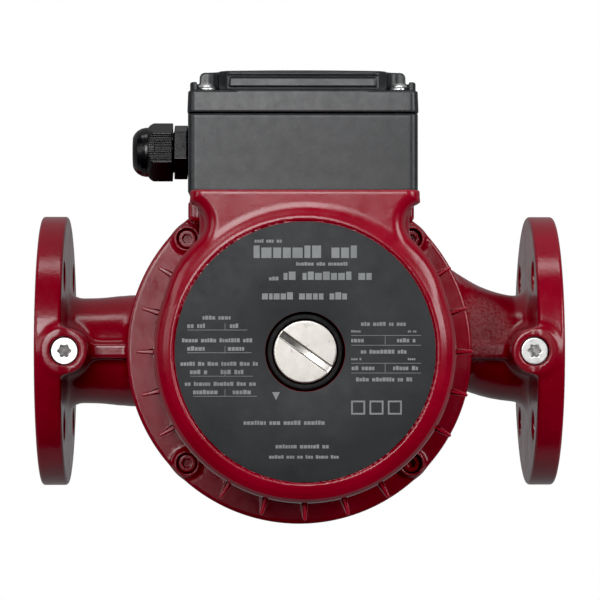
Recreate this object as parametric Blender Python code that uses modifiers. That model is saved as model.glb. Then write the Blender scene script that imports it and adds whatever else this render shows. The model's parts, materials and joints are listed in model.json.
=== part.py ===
"""Flanged wet-rotor circulator pump with a cast motor housing and a plastic terminal box.

Metres, +Z up. The origin is where the pipe's axis (X) meets the motor's axis (Y).
The inlet flange is at -X, the outlet flange at +X, and the motor points along -Y.
"""

import math

import bmesh
import bpy
from mathutils import Matrix, Vector

# ---------------------------------------------------------------- driving dimensions
MM = 0.001
GAP = 0.3 * MM                  # between touching pieces
FINE, COARSE = 28, 14           # sides of large and of small round pieces

# Pump housing: DN40 PN6 flanges, 250 mm face to face
FLANGE_SPAN = 250 * MM
FLANGE_RADIUS = 65 * MM
FLANGE_THICKNESS = 14 * MM
BOLT_CIRCLE_RADIUS = 50 * MM
BOLT_HOLE_RADIUS = 7 * MM
PIPE_RADIUS = 25.5 * MM
RAISED_FACE_RADIUS = 41 * MM
RAISED_FACE_HEIGHT = 1.5 * MM
TAPPING_X = 109.3 * MM          # pressure tapping in each flange's front
TAPPING_BOSS_RADIUS = 10.4 * MM
TAPPING_PLUG_RADIUS = 6.4 * MM

# Heights along the motor's axis, from the pipe's axis towards the motor's front
CASING_BACK = 23 * MM           # the pump housing's flange behind the motor
PUMP_FACE = 36.6 * MM
RING_BACK = 37.8 * MM
RING_FRONT = 48 * MM
MOTOR_FRONT = 215 * MM
CASING_RADIUS = 80.4 * MM
RING_RADIUS = 81.3 * MM
DRUM_RADIUS = 61.6 * MM
BEAD_RADIUS = 63.2 * MM
PLATE_RADIUS = 54.4 * MM        # recess for the nameplate in the motor's front
CAVITY_RADIUS = 54.5 * MM
FIN_TIP_RADIUS = 70.7 * MM
MOTOR_BOLT_RADIUS = 74.5 * MM   # radius of the four bolts' circle
MOTOR_BOLT_HEAD = 4.2 * MM
COUNTERBORE_RADIUS = 4.8 * MM

# Rotor and impeller
SHAFT_RADIUS = 7 * MM
SHAFT_BORE = SHAFT_RADIUS + GAP
IMPELLER_RADIUS = 56 * MM
ROTOR_RADIUS = 28.5 * MM
CAN_RADIUS = 31 * MM
STACK_START, STACK_END = 78 * MM, 170 * MM
SLOT_COUNT = 12

# Motor neck and terminal box
NECK_TOP = 67.6 * MM
NECK_HALF_WIDTH = 47.7 * MM
NECK_FRONT = 213.4 * MM         # heights along the motor's axis
NECK_BACK = 55 * MM
BOX_HALF_WIDTH = 49.5 * MM
BOX_FRONT, BOX_BACK = 160 * MM, 54 * MM
BOX_MIDDLE = (BOX_FRONT + BOX_BACK) / 2
BOX_BOTTOM, BOX_TOP = 68.9 * MM, 103.2 * MM
BOX_WALL = 3 * MM
BOX_CORNER = 4 * MM
LID_BOTTOM = 103.5 * MM         # the skirt's lower edge; the lid's inside starts at the gasket's top
LID_INSIDE = 104.4 * MM
LID_LEDGE = 113.2 * MM
LID_SHOULDER = 116.8 * MM
LID_TOP = 122.2 * MM
LID_SCREW_X = 42 * MM
LID_SCREW_INSET = 8 * MM        # from the box's front and back

# Cable gland, in the box's left wall
GLAND_H, GLAND_Z = BOX_MIDDLE, 89.5 * MM
GLAND_THREAD_RADIUS = 10 * MM

# Vent plug, in the motor's front
PLUG_RADIUS = 13.25 * MM
PLUG_THREAD_RADIUS = 10.5 * MM
PLUG_HOLE_RADIUS = 16.5 * MM
PLUG_SEAT = 201 * MM
PLUG_FRONT = 213.6 * MM

# Colour, roughness, metallic
FINISHES = {
    "red_paint": ((0.30, 0.006, 0.018), 0.35, 0.0),
    "bare_steel": ((0.62, 0.62, 0.60), 0.32, 1.0),
    "zinc_steel": ((0.78, 0.78, 0.76), 0.30, 1.0),
    "brass_nickel": ((0.66, 0.64, 0.60), 0.38, 1.0),
    "bronze": ((0.55, 0.35, 0.16), 0.40, 1.0),
    "copper": ((0.72, 0.32, 0.16), 0.35, 1.0),
    "aluminium": ((0.75, 0.75, 0.76), 0.40, 1.0),
    "lamination": ((0.30, 0.31, 0.33), 0.50, 1.0),
    "carbon": ((0.04, 0.04, 0.045), 0.60, 0.0),
    "black_plastic": ((0.045, 0.048, 0.05), 0.45, 0.0),
    "gland_plastic": ((0.012, 0.012, 0.014), 0.40, 0.0),
    "white_plastic": ((0.80, 0.79, 0.75), 0.50, 0.0),
    "rubber": ((0.01, 0.01, 0.01), 0.70, 0.0),
    "label": ((0.045, 0.050, 0.053), 0.45, 0.0),
}


# ---------------------------------------------------------------- scene and helpers
for old in list(bpy.data.objects):
    bpy.data.objects.remove(old)
PARTS = bpy.data.collections.new("circulator_pump")
HELPERS = bpy.data.collections.new("cutters")
for made in (PARTS, HELPERS):
    bpy.context.scene.collection.children.link(made)

# Children of this empty are drawn as seen from the motor's front: local X is X, local Y is Z,
# and local Z is the height along the motor's axis, towards -Y.
MOTOR_AXIS = bpy.data.objects.new("motor_axis", None)
MOTOR_AXIS.rotation_euler = (math.radians(90), 0, 0)
PARTS.objects.link(MOTOR_AXIS)


def material(finish):
    """The Principled material of one finish, made once."""
    found = bpy.data.materials.get(finish)
    if found:
        return found
    colour, roughness, metallic = FINISHES[finish]
    found = bpy.data.materials.new(finish)
    found.use_nodes = True
    shader = found.node_tree.nodes["Principled BSDF"]
    shader.inputs["Base Color"].default_value = (*colour, 1)
    shader.inputs["Roughness"].default_value = roughness
    shader.inputs["Metallic"].default_value = metallic
    return found


def add_object(name, mesh, finish, parent=None):
    """A part in the pump's collection, or a hidden helper where finish is None."""
    obj = bpy.data.objects.new(name, mesh)
    obj.parent = parent
    if finish:
        mesh.materials.append(material(finish))
        PARTS.objects.link(obj)
    else:
        obj.hide_render = True
        obj.display_type = "WIRE"
        HELPERS.objects.link(obj)
    return obj


def from_bmesh(name, bm, finish, parent=None):
    """An object from a bmesh, shaded smooth up to 30 degrees."""
    bmesh.ops.recalc_face_normals(bm, faces=bm.faces)
    mesh = bpy.data.meshes.new(name)
    bm.to_mesh(mesh)
    bm.free()
    mesh.shade_smooth()
    mesh.set_sharp_from_angle(angle=math.radians(30))
    return add_object(name, mesh, finish, parent)


def put_rod(bm, start, end, radius, end_radius=None, sides=COARSE, turn=0.0):
    """Adds a cylinder, a cone or (with few sides) a prism between two points."""
    start, end = Vector(start), Vector(end)
    along = end - start
    place = (
        Matrix.Translation((start + end) / 2)
        @ along.to_track_quat("Z", "Y").to_matrix().to_4x4()
        @ Matrix.Rotation(turn, 4, "Z")
    )
    bmesh.ops.create_cone(
        bm, cap_ends=True, segments=sides, radius1=radius,
        radius2=radius if end_radius is None else end_radius, depth=along.length, matrix=place,
    )


def put_box(bm, low, high):
    """Adds a box between two corners."""
    low, high = Vector(low), Vector(high)
    place = Matrix.Translation((low + high) / 2) @ Matrix.Diagonal((*(high - low), 1))
    return bmesh.ops.create_cube(bm, size=1, matrix=place)["verts"]


def rods(name, places, radius, finish=None, parent=None, sides=COARSE, turn=0.0):
    """One object holding a cylinder for each (start, end)."""
    bm = bmesh.new()
    for start, end in places:
        put_rod(bm, start, end, radius, sides=sides, turn=turn)
    return from_bmesh(name, bm, finish, parent)


def boxes(name, corners, finish=None, parent=None):
    """One object holding a box for each (low, high)."""
    bm = bmesh.new()
    for low, high in corners:
        put_box(bm, low, high)
    return from_bmesh(name, bm, finish, parent)


def turned(name, profile, finish=None, parent=MOTOR_AXIS, steps=FINE, closed=True):
    """A profile of (radius, height) in metres, turned about its parent's Z by a Screw modifier.
    It runs down its outer side. A closed profile makes a ring; an open one starts and ends at radius 0."""
    points = [(radius, 0, height) for radius, height in profile]
    count = len(points)
    edges = [(i, i + 1) for i in range(count - 1)] + ([(count - 1, 0)] if closed else [])
    mesh = bpy.data.meshes.new(name)
    mesh.from_pydata(points, edges, [])
    obj = add_object(name, mesh, finish, parent)
    screw = obj.modifiers.new("turn", "SCREW")
    screw.steps = screw.render_steps = steps
    screw.use_merge_vertices = True
    screw.merge_threshold = 1e-5
    screw.use_smooth_shade = True
    return obj


def ring(name, inner, outer, bottom, top, finish=None, parent=MOTOR_AXIS, steps=FINE):
    """A plain tube or washer about its parent's Z."""
    profile = [(outer, top), (outer, bottom), (inner, bottom), (inner, top)]
    return turned(name, profile, finish, parent, steps)


def as_mesh(curve_obj, finish):
    """A curve object turned into a mesh object with its caps welded."""
    bpy.context.view_layer.update()
    graph = bpy.context.evaluated_depsgraph_get()
    mesh = bpy.data.meshes.new_from_object(curve_obj.evaluated_get(graph))
    name, parent, place = curve_obj.name, curve_obj.parent, curve_obj.matrix_local.copy()
    bpy.data.objects.remove(curve_obj)
    bm = bmesh.new()
    bm.from_mesh(mesh)
    bmesh.ops.remove_doubles(bm, verts=bm.verts, dist=1e-6)
    obj = from_bmesh(name, bm, finish, parent)
    obj.matrix_local = place
    return obj


def plate(name, outline, bottom, top, finish=None, parent=MOTOR_AXIS, holes=()):
    """A flat outline of (x, y) points, with holes, from one height of its parent's Z to another."""
    curve = bpy.data.curves.new(name, "CURVE")
    curve.dimensions = "2D"
    curve.fill_mode = "BOTH"
    curve.extrude = (top - bottom) / 2
    for loop in (outline, *holes):
        spline = curve.splines.new("POLY")
        spline.points.add(len(loop) - 1)
        for point, (x, y) in zip(spline.points, loop):
            point.co = (x, y, 0, 1)
        spline.use_cyclic_u = True
    obj = bpy.data.objects.new(name, curve)
    obj.parent = parent
    obj.location.z = (bottom + top) / 2
    HELPERS.objects.link(obj)
    return as_mesh(obj, finish)


def tube(name, points, radii, finish=None, roundness=4, resolution=2):
    """A smooth solid rod through points, with a radius at each."""
    curve = bpy.data.curves.new(name, "CURVE")
    curve.dimensions = "3D"
    curve.bevel_depth = 1.0
    curve.bevel_resolution = roundness
    curve.resolution_u = resolution
    curve.use_fill_caps = True
    spline = curve.splines.new("BEZIER")
    spline.bezier_points.add(len(points) - 1)
    for knot, point, radius in zip(spline.bezier_points, points, radii):
        knot.co = point
        knot.radius = radius
        knot.handle_left_type = knot.handle_right_type = "AUTO"
    obj = bpy.data.objects.new(name, curve)
    HELPERS.objects.link(obj)
    return as_mesh(obj, finish)


def boolean(obj, operation, others):
    for other in others:
        step = obj.modifiers.new(f"{operation.lower()} {other.name}", "BOOLEAN")
        step.operation = operation
        step.object = other
        step.solver = "EXACT"
    return obj


def cut(obj, *cutters):
    return boolean(obj, "DIFFERENCE", cutters)


def join(obj, *pieces):
    return boolean(obj, "UNION", pieces)


def on_circle(radius, degrees):
    """(x, y) on a circle, degrees counter-clockwise from +x."""
    return radius * math.cos(math.radians(degrees)), radius * math.sin(math.radians(degrees))


def rounded_rectangle(low, high, radius, steps=3):
    """Outline points, counter-clockwise, of a rectangle with round corners."""
    (x0, y0), (x1, y1) = low, high
    centres = ((x1 - radius, y1 - radius, 0), (x0 + radius, y1 - radius, 90),
               (x0 + radius, y0 + radius, 180), (x1 - radius, y0 + radius, 270))
    points = []
    for cx, cy, start in centres:
        for i in range(steps + 1):
            dx, dy = on_circle(radius, start + 90 * i / steps)
            points.append((cx + dx, cy + dy))
    return points


# ---------------------------------------------------------------- pump housing
def volute_outline(small, large, start=35.0, sweep=325.0, count=22):
    """A spiral that grows clockwise, seen from the motor, towards the outlet at the top right."""
    points = []
    for i in range(count + 1):
        share = i / count
        points.append(on_circle(small + (large - small) * share, start - sweep * share))
    return points[::-1]


# Centre lines in mm, and the radii of the casting and of the passage along them. The inlet bends
# back behind the impeller; the outlet leaves the volute's top and comes down to the pipe's axis.
INLET_LINE = [(-118, 0, 0), (-98, 0, 0), (-80, 3, 0), (-55, 13, 0), (-25, 18, 0), (4, 18, 0)]
INLET_CASTING = [25.5, 25.5, 27, 28, 27, 24]
INLET_PASSAGE = [20, 20, 20, 20, 19, 16]
OUTLET_LINE = [(8, -17, 51), (32, -16, 44), (52, -13, 29), (66, -9.5, 17), (78, -6, 9),
               (92, -2.4, 3.4), (106, -0.4, 0.9), (118, 0, 0)]
OUTLET_CASTING = [15.5, 17, 20.5, 23, 24.3, 25.2, 25.6, 25.5]
OUTLET_PASSAGE = [9.5, 11.5, 14.8, 17.4, 18.8, 19.6, 20, 20]


def passage_rod(name, line, radii, end_x, roundness=6):
    """A round rod along a centre line in mm, its flange end moved to end_x."""
    points = [Vector(p) * MM for p in line]
    points[0 if end_x < 0 else -1].x = end_x
    return tube(name, points, [r * MM for r in radii], roundness=roundness)


def pipe_rod(name, profile, side):
    """A turned shape along the pipe's axis; heights in its profile count outwards from the centre."""
    axis = bpy.data.objects.new(name + "_axis", None)
    axis.rotation_euler = (0, math.radians(90 * side), 0)
    HELPERS.objects.link(axis)
    return turned(name, profile, None, axis, closed=False)


def flange_profile():
    """One flange with its raised face and the fillet onto the pipe, from its face inwards."""
    face, back = FLANGE_SPAN / 2, FLANGE_SPAN / 2 - FLANGE_THICKNESS
    edge = 1.2 * MM
    return [
        (0, face), (RAISED_FACE_RADIUS, face),
        (RAISED_FACE_RADIUS, face - RAISED_FACE_HEIGHT),
        (FLANGE_RADIUS - edge, face - RAISED_FACE_HEIGHT),
        (FLANGE_RADIUS, face - RAISED_FACE_HEIGHT - edge),
        (FLANGE_RADIUS, back),
        (PIPE_RADIUS + 4.5 * MM, back), (PIPE_RADIUS + 1.6 * MM, back - 1.5 * MM),
        (PIPE_RADIUS + 0.2 * MM, back - 5 * MM), (PIPE_RADIUS - 1 * MM, back - 7 * MM), (0, back - 7 * MM),
    ]


def make_pump_housing():
    casing = [(0, PUMP_FACE), (CASING_RADIUS, PUMP_FACE), (CASING_RADIUS, CASING_BACK + 1 * MM),
              (CASING_RADIUS - 1.2 * MM, CASING_BACK), (73 * MM, CASING_BACK - 3 * MM),
              (58 * MM, -4 * MM), (46 * MM, -10 * MM), (36 * MM, -14 * MM), (34 * MM, -30 * MM),
              (28 * MM, -41 * MM), (16 * MM, -45 * MM), (0, -46 * MM)]
    housing = turned("pump_housing", casing, "red_paint", closed=False)
    volute = plate("volute_casting", volute_outline(64 * MM, 75.5 * MM), -5 * MM, 31 * MM)
    join(housing, volute, passage_rod("inlet_casting", INLET_LINE, INLET_CASTING, -118 * MM),
         passage_rod("outlet_casting", OUTLET_LINE, OUTLET_CASTING, 118 * MM))
    for side, name in ((-1, "inlet"), (1, "outlet")):
        x = side * TAPPING_X
        boss = rods(f"{name}_boss", [((x, -64.5 * MM, 0), (x, -20 * MM, 0))], TAPPING_BOSS_RADIUS)
        web_x = sorted((side * 64 * MM, side * 112.6 * MM))
        web = boxes(f"{name}_web", [((web_x[0], -34 * MM, -3.4 * MM), (web_x[1], -17 * MM, 3.4 * MM))])
        join(housing, pipe_rod(f"{name}_flange", flange_profile(), side), boss, web)

    # Water passages
    suction = [(0, 12 * MM), (27.6 * MM, 12 * MM), (27.6 * MM, 1 * MM), (22 * MM, -1 * MM), (26 * MM, -7 * MM),
               (28 * MM, -20 * MM), (26 * MM, -33 * MM), (16 * MM, -39 * MM), (0, -40 * MM)]
    chamber = [(0, 50 * MM), (64 * MM, 50 * MM), (64 * MM, 31.2 * MM), (59 * MM, 31.2 * MM),
               (59 * MM, 9 * MM), (0, 9 * MM)]
    cut(housing, turned("suction_bowl", suction, closed=False),
        passage_rod("inlet_passage", INLET_LINE, INLET_PASSAGE, -130 * MM, 4),
        turned("impeller_chamber", chamber, closed=False),
        plate("volute_channel", volute_outline(60 * MM, 69.5 * MM), 10 * MM, 27 * MM),
        passage_rod("outlet_passage", OUTLET_LINE, OUTLET_PASSAGE, 130 * MM, 4))

    # Bolt holes and tappings
    half, back = FLANGE_SPAN / 2 + 5 * MM, FLANGE_SPAN / 2 - FLANGE_THICKNESS - 9 * MM
    holes = []
    for side in (-1, 1):
        for degrees in (45, 135, 225, 315):
            y, z = on_circle(BOLT_CIRCLE_RADIUS, degrees)
            holes.append(((side * back, y, z), (side * half, y, z)))
    seats, ports, threads = [], [], []
    for side in (-1, 1):
        x = side * TAPPING_X
        seats.append(((x, -70 * MM, 0), (x, -52 * MM, 0)))
        ports.append(((x, -60 * MM, 0), (x, -10 * MM, 0)))
    for x, z in motor_bolt_places():
        threads.append(((x, -50 * MM, z), (x, -25.2 * MM, z)))
    cut(housing, rods("flange_bolt_holes", holes, BOLT_HOLE_RADIUS),
        rods("tapping_seats", seats, TAPPING_PLUG_RADIUS + GAP),
        rods("tapping_ports", ports, 3 * MM, sides=12),
        rods("motor_bolt_threads", threads, 2.8 * MM, sides=12))


def motor_bolt_places():
    return [on_circle(MOTOR_BOLT_RADIUS, degrees) for degrees in (45, 135, 225, 315)]


def make_tapping_plugs():
    """Threaded plugs with a socket, in the two pressure tappings."""
    for side, name in ((-1, "inlet_tapping_plug"), (1, "outlet_tapping_plug")):
        x = side * TAPPING_X
        plug = rods(name, [((x, -63.9 * MM, 0), (x, -52.5 * MM, 0))], TAPPING_PLUG_RADIUS, "zinc_steel")
        socket = rods(name + "_socket", [((x, -70 * MM, 0), (x, -60 * MM, 0))], 3.1 * MM, sides=6)
        cut(plug, socket)


def make_neck_ring():
    ring("neck_ring", 23.4 * MM, 27.3 * MM, 1.3 * MM, 9.3 * MM, "bronze")


# ---------------------------------------------------------------- rotor
def vane_outline(start_degrees, inner=17 * MM, outer=55.5 * MM, sweep=75.0, half=1.2 * MM, count=3):
    """A backward-curved vane: a strip along a spiral from the eye to the rim."""
    left, right = [], []
    for i in range(count + 1):
        share = i / count
        radius = inner + (outer - inner) * share
        degrees = start_degrees + sweep * share
        side = math.degrees(half / radius) * 1.6
        left.append(on_circle(radius, degrees + side))
        right.append(on_circle(radius, degrees - side))
    return right + left[::-1]


def make_impeller():
    back = [(12 * MM, 31 * MM), (12 * MM, 28 * MM), (IMPELLER_RADIUS, 28 * MM),
            (IMPELLER_RADIUS, 25 * MM), (12 * MM, 24 * MM), (12 * MM, 16.3 * MM),
            (SHAFT_BORE, 16.3 * MM), (SHAFT_BORE, 31 * MM)]
    front = [(IMPELLER_RADIUS, 16 * MM), (IMPELLER_RADIUS, 13.6 * MM), (27 * MM, 10.9 * MM),
             (23 * MM, 9.4 * MM), (23 * MM, 2.9 * MM), (19.8 * MM, 2.9 * MM), (19.8 * MM, 9.9 * MM),
             (23 * MM, 13.4 * MM)]
    impeller = turned("impeller", back, "bare_steel", steps=24)
    join(impeller, turned("front_shroud", front, steps=24))
    for i in range(6):
        join(impeller, plate(f"vane_{i + 1}", vane_outline(60 * i), 13 * MM, 26 * MM))


def make_rotor():
    shaft = [(0, 194 * MM), (SHAFT_RADIUS, 194 * MM), (SHAFT_RADIUS, 16 * MM), (5 * MM, 15 * MM),
             (5 * MM, 6 * MM), (0, 6 * MM)]
    turned("rotor_shaft", shaft, "bare_steel", steps=COARSE, closed=False)
    ring("rotor_core", SHAFT_BORE, ROTOR_RADIUS, STACK_START, STACK_END, "lamination")
    ring("rotor_end_ring_pump_side", 17 * MM, 28 * MM, STACK_START - 6 * MM, STACK_START - GAP, "aluminium")
    ring("rotor_end_ring_front", 17 * MM, 28 * MM, STACK_END + GAP, STACK_END + 6 * MM, "aluminium")
    ring("thrust_bearing", SHAFT_BORE, 13 * MM, 58 * MM, 63 * MM, "carbon", steps=COARSE)
    cone = [(9 * MM, 35.8 * MM), (11 * MM, 31.3 * MM), (SHAFT_BORE, 31.3 * MM), (SHAFT_BORE, 35.8 * MM)]
    turned("split_cone", cone, "bronze", steps=COARSE)
    nut = rods("impeller_nut", [((0, 0, 7.4 * MM), (0, 0, 14.7 * MM))], 9.2 * MM, "zinc_steel",
               MOTOR_AXIS, sides=6)
    cut(nut, rods("impeller_nut_bore", [((0, 0, 0), (0, 0, 30 * MM))], 5.3 * MM, None, MOTOR_AXIS, sides=16))


# ---------------------------------------------------------------- motor's inside
def make_bearings():
    support = [(19 * MM, 54.5 * MM), (19 * MM, 38.3 * MM), (30 * MM, 36.5 * MM), (63.6 * MM, 36.5 * MM),
               (63.6 * MM, 31.9 * MM), (14 * MM, 31.9 * MM), (12.3 * MM, 37 * MM), (12.3 * MM, 54.5 * MM)]
    turned("bearing_plate", support, "bare_steel")
    ring("pump_side_bearing", SHAFT_BORE, 12 * MM, 41 * MM, 54.5 * MM, "carbon", steps=COARSE)
    ring("front_bearing", SHAFT_BORE, 12 * MM, 178 * MM, 189 * MM, "carbon", steps=COARSE)
    ring("front_bearing_holder", 12.3 * MM, 29.6 * MM, 179 * MM, 188 * MM, "bare_steel", steps=COARSE)


def make_stator():
    can = [(CAN_RADIUS, 192 * MM), (CAN_RADIUS, 39 * MM), (50 * MM, 39 * MM), (50 * MM, 38 * MM),
           (CAN_RADIUS - 1 * MM, 38 * MM), (CAN_RADIUS - 1 * MM, 192 * MM)]
    turned("stator_can", can, "bare_steel")
    slots, bars = bmesh.new(), bmesh.new()
    for i in range(SLOT_COUNT):
        turn = Matrix.Rotation(math.radians(360 / SLOT_COUNT * i), 4, "Z")
        for bm, low, high in (
            (slots, (30 * MM, -2 * MM, STACK_START - 5 * MM), (46 * MM, 2 * MM, STACK_END + 5 * MM)),
            (bars, (34 * MM, -1.6 * MM, STACK_START - 8 * MM), (45.6 * MM, 1.6 * MM, STACK_END + 8 * MM)),
        ):
            bmesh.ops.transform(bm, matrix=turn, verts=put_box(bm, low, high))
    core = ring("stator_core", CAN_RADIUS + GAP, CAVITY_RADIUS - 0.4 * MM, STACK_START, STACK_END,
                "lamination")
    cut(core, from_bmesh("stator_slots", slots, None, MOTOR_AXIS))

    def end_turns(name, low, high, finish):
        """The bundle of coil ends, as a ring with round edges."""
        inner, outer, edge = 33.5 * MM, 49 * MM, 4 * MM
        profile = [(outer - edge, high), (outer, high - edge), (outer, low + edge), (outer - edge, low),
                   (inner + edge, low), (inner, low + edge), (inner, high - edge), (inner + edge, high)]
        return turned(name, profile, finish, steps=20)

    winding = end_turns("stator_winding", 54 * MM, STACK_START - 4 * MM, "copper")
    join(winding, end_turns("front_end_turns", STACK_END + 4 * MM, 192 * MM, None),
         from_bmesh("slot_bars", bars, None, MOTOR_AXIS))


# ---------------------------------------------------------------- motor housing
def neck_outline(top):
    """The motor's front above the drum: it narrows to a waist, then widens to the box's seat.
    The waist's arc is tangent to the neck's foot, a circle just outside the drum's bead."""
    centre_x, centre_z, bend = 50.5 * MM, 53.5 * MM, 9 * MM
    foot = [on_circle(BEAD_RADIUS + 1.4 * MM, degrees) for degrees in (30, 38)]
    flank = [(centre_x + dx, centre_z + dz) for dx, dz in (on_circle(bend, 227 - 14 * i) for i in range(9))]
    right = [on_circle(50 * MM, 27), *foot, *flank, (NECK_HALF_WIDTH, 64 * MM), (NECK_HALF_WIDTH, top)]
    return [(0, 22 * MM), *right, *((-x, z) for x, z in reversed(right))]


def make_motor_housing():
    drum = [(0, MOTOR_FRONT), (PLATE_RADIUS + 1.4 * MM, MOTOR_FRONT), (58.6 * MM, MOTOR_FRONT - 1 * MM),
            (61.4 * MM, MOTOR_FRONT - 2.8 * MM), (63 * MM, MOTOR_FRONT - 5.6 * MM),
            (BEAD_RADIUS, MOTOR_FRONT - 9 * MM), (DRUM_RADIUS, MOTOR_FRONT - 11 * MM),
            (DRUM_RADIUS, RING_FRONT), (RING_RADIUS - 0.8 * MM, RING_FRONT),
            (RING_RADIUS, RING_FRONT - 0.8 * MM), (RING_RADIUS, RING_BACK), (0, RING_BACK)]
    housing = turned("motor_housing", drum, "red_paint", steps=44, closed=False)

    fins = bmesh.new()
    for i in range(24):
        degrees = 15 * i
        if 30 < degrees < 150 or degrees in (225, 315):
            continue
        verts = put_box(fins, (58 * MM, -1.4 * MM, RING_FRONT - 1 * MM), (FIN_TIP_RADIUS, 1.4 * MM, 203 * MM))
        for vert in verts:
            if vert.co.x > 60 * MM:
                vert.co.y *= 0.5
        bmesh.ops.transform(fins, matrix=Matrix.Rotation(math.radians(degrees), 4, "Z"), verts=verts)
    corners = motor_bolt_places()
    bosses = rods("bolt_bosses", [((x, z, RING_FRONT - 6 * MM), (x, z, RING_FRONT + 2.5 * MM))
                                  for x, z in corners], 6.2 * MM, None, MOTOR_AXIS)
    neck_block = boxes("neck_block", [((-49.6 * MM, -148 * MM, 60 * MM), (49.6 * MM, -NECK_BACK, NECK_TOP))])
    bridge_low, bridge_high = (-44 * MM, -194 * MM, 41 * MM), (44 * MM, -NECK_BACK - 1 * MM, NECK_TOP - 1 * MM)
    neck_bridge = boxes("neck_bridge", [(bridge_low, bridge_high)])
    neck_front = plate("neck_front", neck_outline(NECK_TOP - 0.4 * MM), NECK_FRONT - 24 * MM, NECK_FRONT)
    join(housing, from_bmesh("fins", fins, None, MOTOR_AXIS), bosses, neck_block, neck_bridge, neck_front)

    cavity = [(0, 197 * MM), (30 * MM, 197 * MM), (CAVITY_RADIUS, 193 * MM), (CAVITY_RADIUS, 30 * MM),
              (0, 30 * MM)]
    plug_hole = [(0, 230 * MM), (PLATE_RADIUS, 230 * MM), (PLATE_RADIUS, MOTOR_FRONT - 1.2 * MM),
                 (PLUG_HOLE_RADIUS, MOTOR_FRONT - 1.2 * MM), (PLUG_HOLE_RADIUS, PLUG_SEAT),
                 (PLUG_THREAD_RADIUS + GAP, PLUG_SEAT), (PLUG_THREAD_RADIUS + GAP, 190 * MM), (0, 190 * MM)]
    cut(housing, turned("motor_cavity", cavity, closed=False),
        turned("plug_hole", plug_hole, steps=40, closed=False),
        boxes("neck_cavity", [((-34 * MM, -140 * MM, 45 * MM), (34 * MM, -70 * MM, 80 * MM))]),
        rods("bolt_counterbores", [((x, z, 43.4 * MM), (x, z, 75 * MM)) for x, z in corners],
             COUNTERBORE_RADIUS, None, MOTOR_AXIS),
        rods("bolt_clearance", [((x, z, 30 * MM), (x, z, 45 * MM)) for x, z in corners], 2.9 * MM, None,
             MOTOR_AXIS, sides=12),
        rods("box_screw_threads", [((x, -BOX_MIDDLE, 56 * MM), (x, -BOX_MIDDLE, 72 * MM)) for x in BOX_SCREWS],
             2.3 * MM, sides=12))
    for i, (x, z) in enumerate(corners):
        bolt = rods(f"motor_bolt_{i + 1}", [((x, z, 43.7 * MM), (x, z, 48.4 * MM))], MOTOR_BOLT_HEAD,
                    "zinc_steel", MOTOR_AXIS)
        join(bolt, rods(f"motor_bolt_{i + 1}_shank", [((x, z, 26 * MM), (x, z, 45 * MM))], 2.5 * MM, None,
                        MOTOR_AXIS, sides=12))
        cut(bolt, rods(f"motor_bolt_{i + 1}_socket", [((x, z, 46 * MM), (x, z, 60 * MM))], 2.2 * MM, None,
                       MOTOR_AXIS, sides=6))
    ring("housing_gasket", 64.4 * MM, 69 * MM, PUMP_FACE + GAP, RING_BACK - GAP, "rubber")
    ring("nameplate", PLUG_HOLE_RADIUS, PLATE_RADIUS - 0.4 * MM, MOTOR_FRONT - 0.9 * MM, MOTOR_FRONT - 0.3 * MM,
         "label")


def make_vent_plug():
    profile = [(0, PLUG_FRONT), (PLUG_RADIUS - 0.8 * MM, PLUG_FRONT), (PLUG_RADIUS, PLUG_FRONT - 0.8 * MM),
               (PLUG_RADIUS, 204.4 * MM), (PLUG_THREAD_RADIUS, 204.4 * MM), (PLUG_THREAD_RADIUS, 198 * MM),
               (PLUG_THREAD_RADIUS - 1 * MM, 197.2 * MM), (0, 197.2 * MM)]
    plug = turned("vent_plug", profile, "brass_nickel", closed=False)
    slot = boxes("plug_slot", [((-20 * MM, -1.1 * MM, PLUG_FRONT - 2.4 * MM), (20 * MM, 1.1 * MM, 230 * MM))],
                 None, MOTOR_AXIS)
    slot.rotation_euler.z = math.radians(-36)
    cut(plug, slot)
    seal = [(15.4 * MM, 212.6 * MM), (16.1 * MM, 212 * MM), (16.1 * MM, PLUG_SEAT + GAP),
            (PLUG_THREAD_RADIUS + 0.4 * MM, PLUG_SEAT + GAP), (PLUG_THREAD_RADIUS + 0.4 * MM, 204.1 * MM),
            (PLUG_RADIUS + GAP, 204.1 * MM), (PLUG_RADIUS + GAP, 212.6 * MM)]
    turned("vent_plug_seal", seal, "rubber")


# ---------------------------------------------------------------- terminal box
BOX_SCREWS = (-39 * MM, 39 * MM)


def box_outline(inset=0.0, corner=BOX_CORNER):
    """The box's plan, in X and Y, seen from above."""
    return rounded_rectangle((-BOX_HALF_WIDTH + inset, -BOX_FRONT + inset),
                             (BOX_HALF_WIDTH - inset, -BOX_BACK - inset), corner)


def lid_corners():
    front, back = -BOX_FRONT + LID_SCREW_INSET, -BOX_BACK - LID_SCREW_INSET
    return [(-LID_SCREW_X, front), (LID_SCREW_X, front), (-LID_SCREW_X, back), (LID_SCREW_X, back)]


def make_terminal_box():
    body = plate("terminal_box", box_outline(), BOX_BOTTOM, BOX_TOP, "black_plastic", None)
    floor = BOX_BOTTOM + BOX_WALL
    inside = plate("box_inside", box_outline(BOX_WALL, 2 * MM), floor, BOX_TOP + 10 * MM, None, None)
    posts = rods("lid_posts", [((x, y, floor - 1 * MM), (x, y, BOX_TOP)) for x, y in lid_corners()],
                 5.4 * MM, sides=16)
    cut(body, inside)
    join(body, posts)
    cut(body, rods("lid_pilots", [((x, y, 86 * MM), (x, y, 120 * MM)) for x, y in lid_corners()], 2.2 * MM,
                   sides=12),
        rods("wire_hole", [((0, -BOX_MIDDLE, 60 * MM), (0, -BOX_MIDDLE, 80 * MM))], 9 * MM),
        rods("box_screw_holes", [((x, -BOX_MIDDLE, 60 * MM), (x, -BOX_MIDDLE, 80 * MM)) for x in BOX_SCREWS],
             2.3 * MM, sides=12),
        rods("gland_hole", [((-60 * MM, -GLAND_H, GLAND_Z), (-44 * MM, -GLAND_H, GLAND_Z))],
             GLAND_THREAD_RADIUS + GAP))


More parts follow.
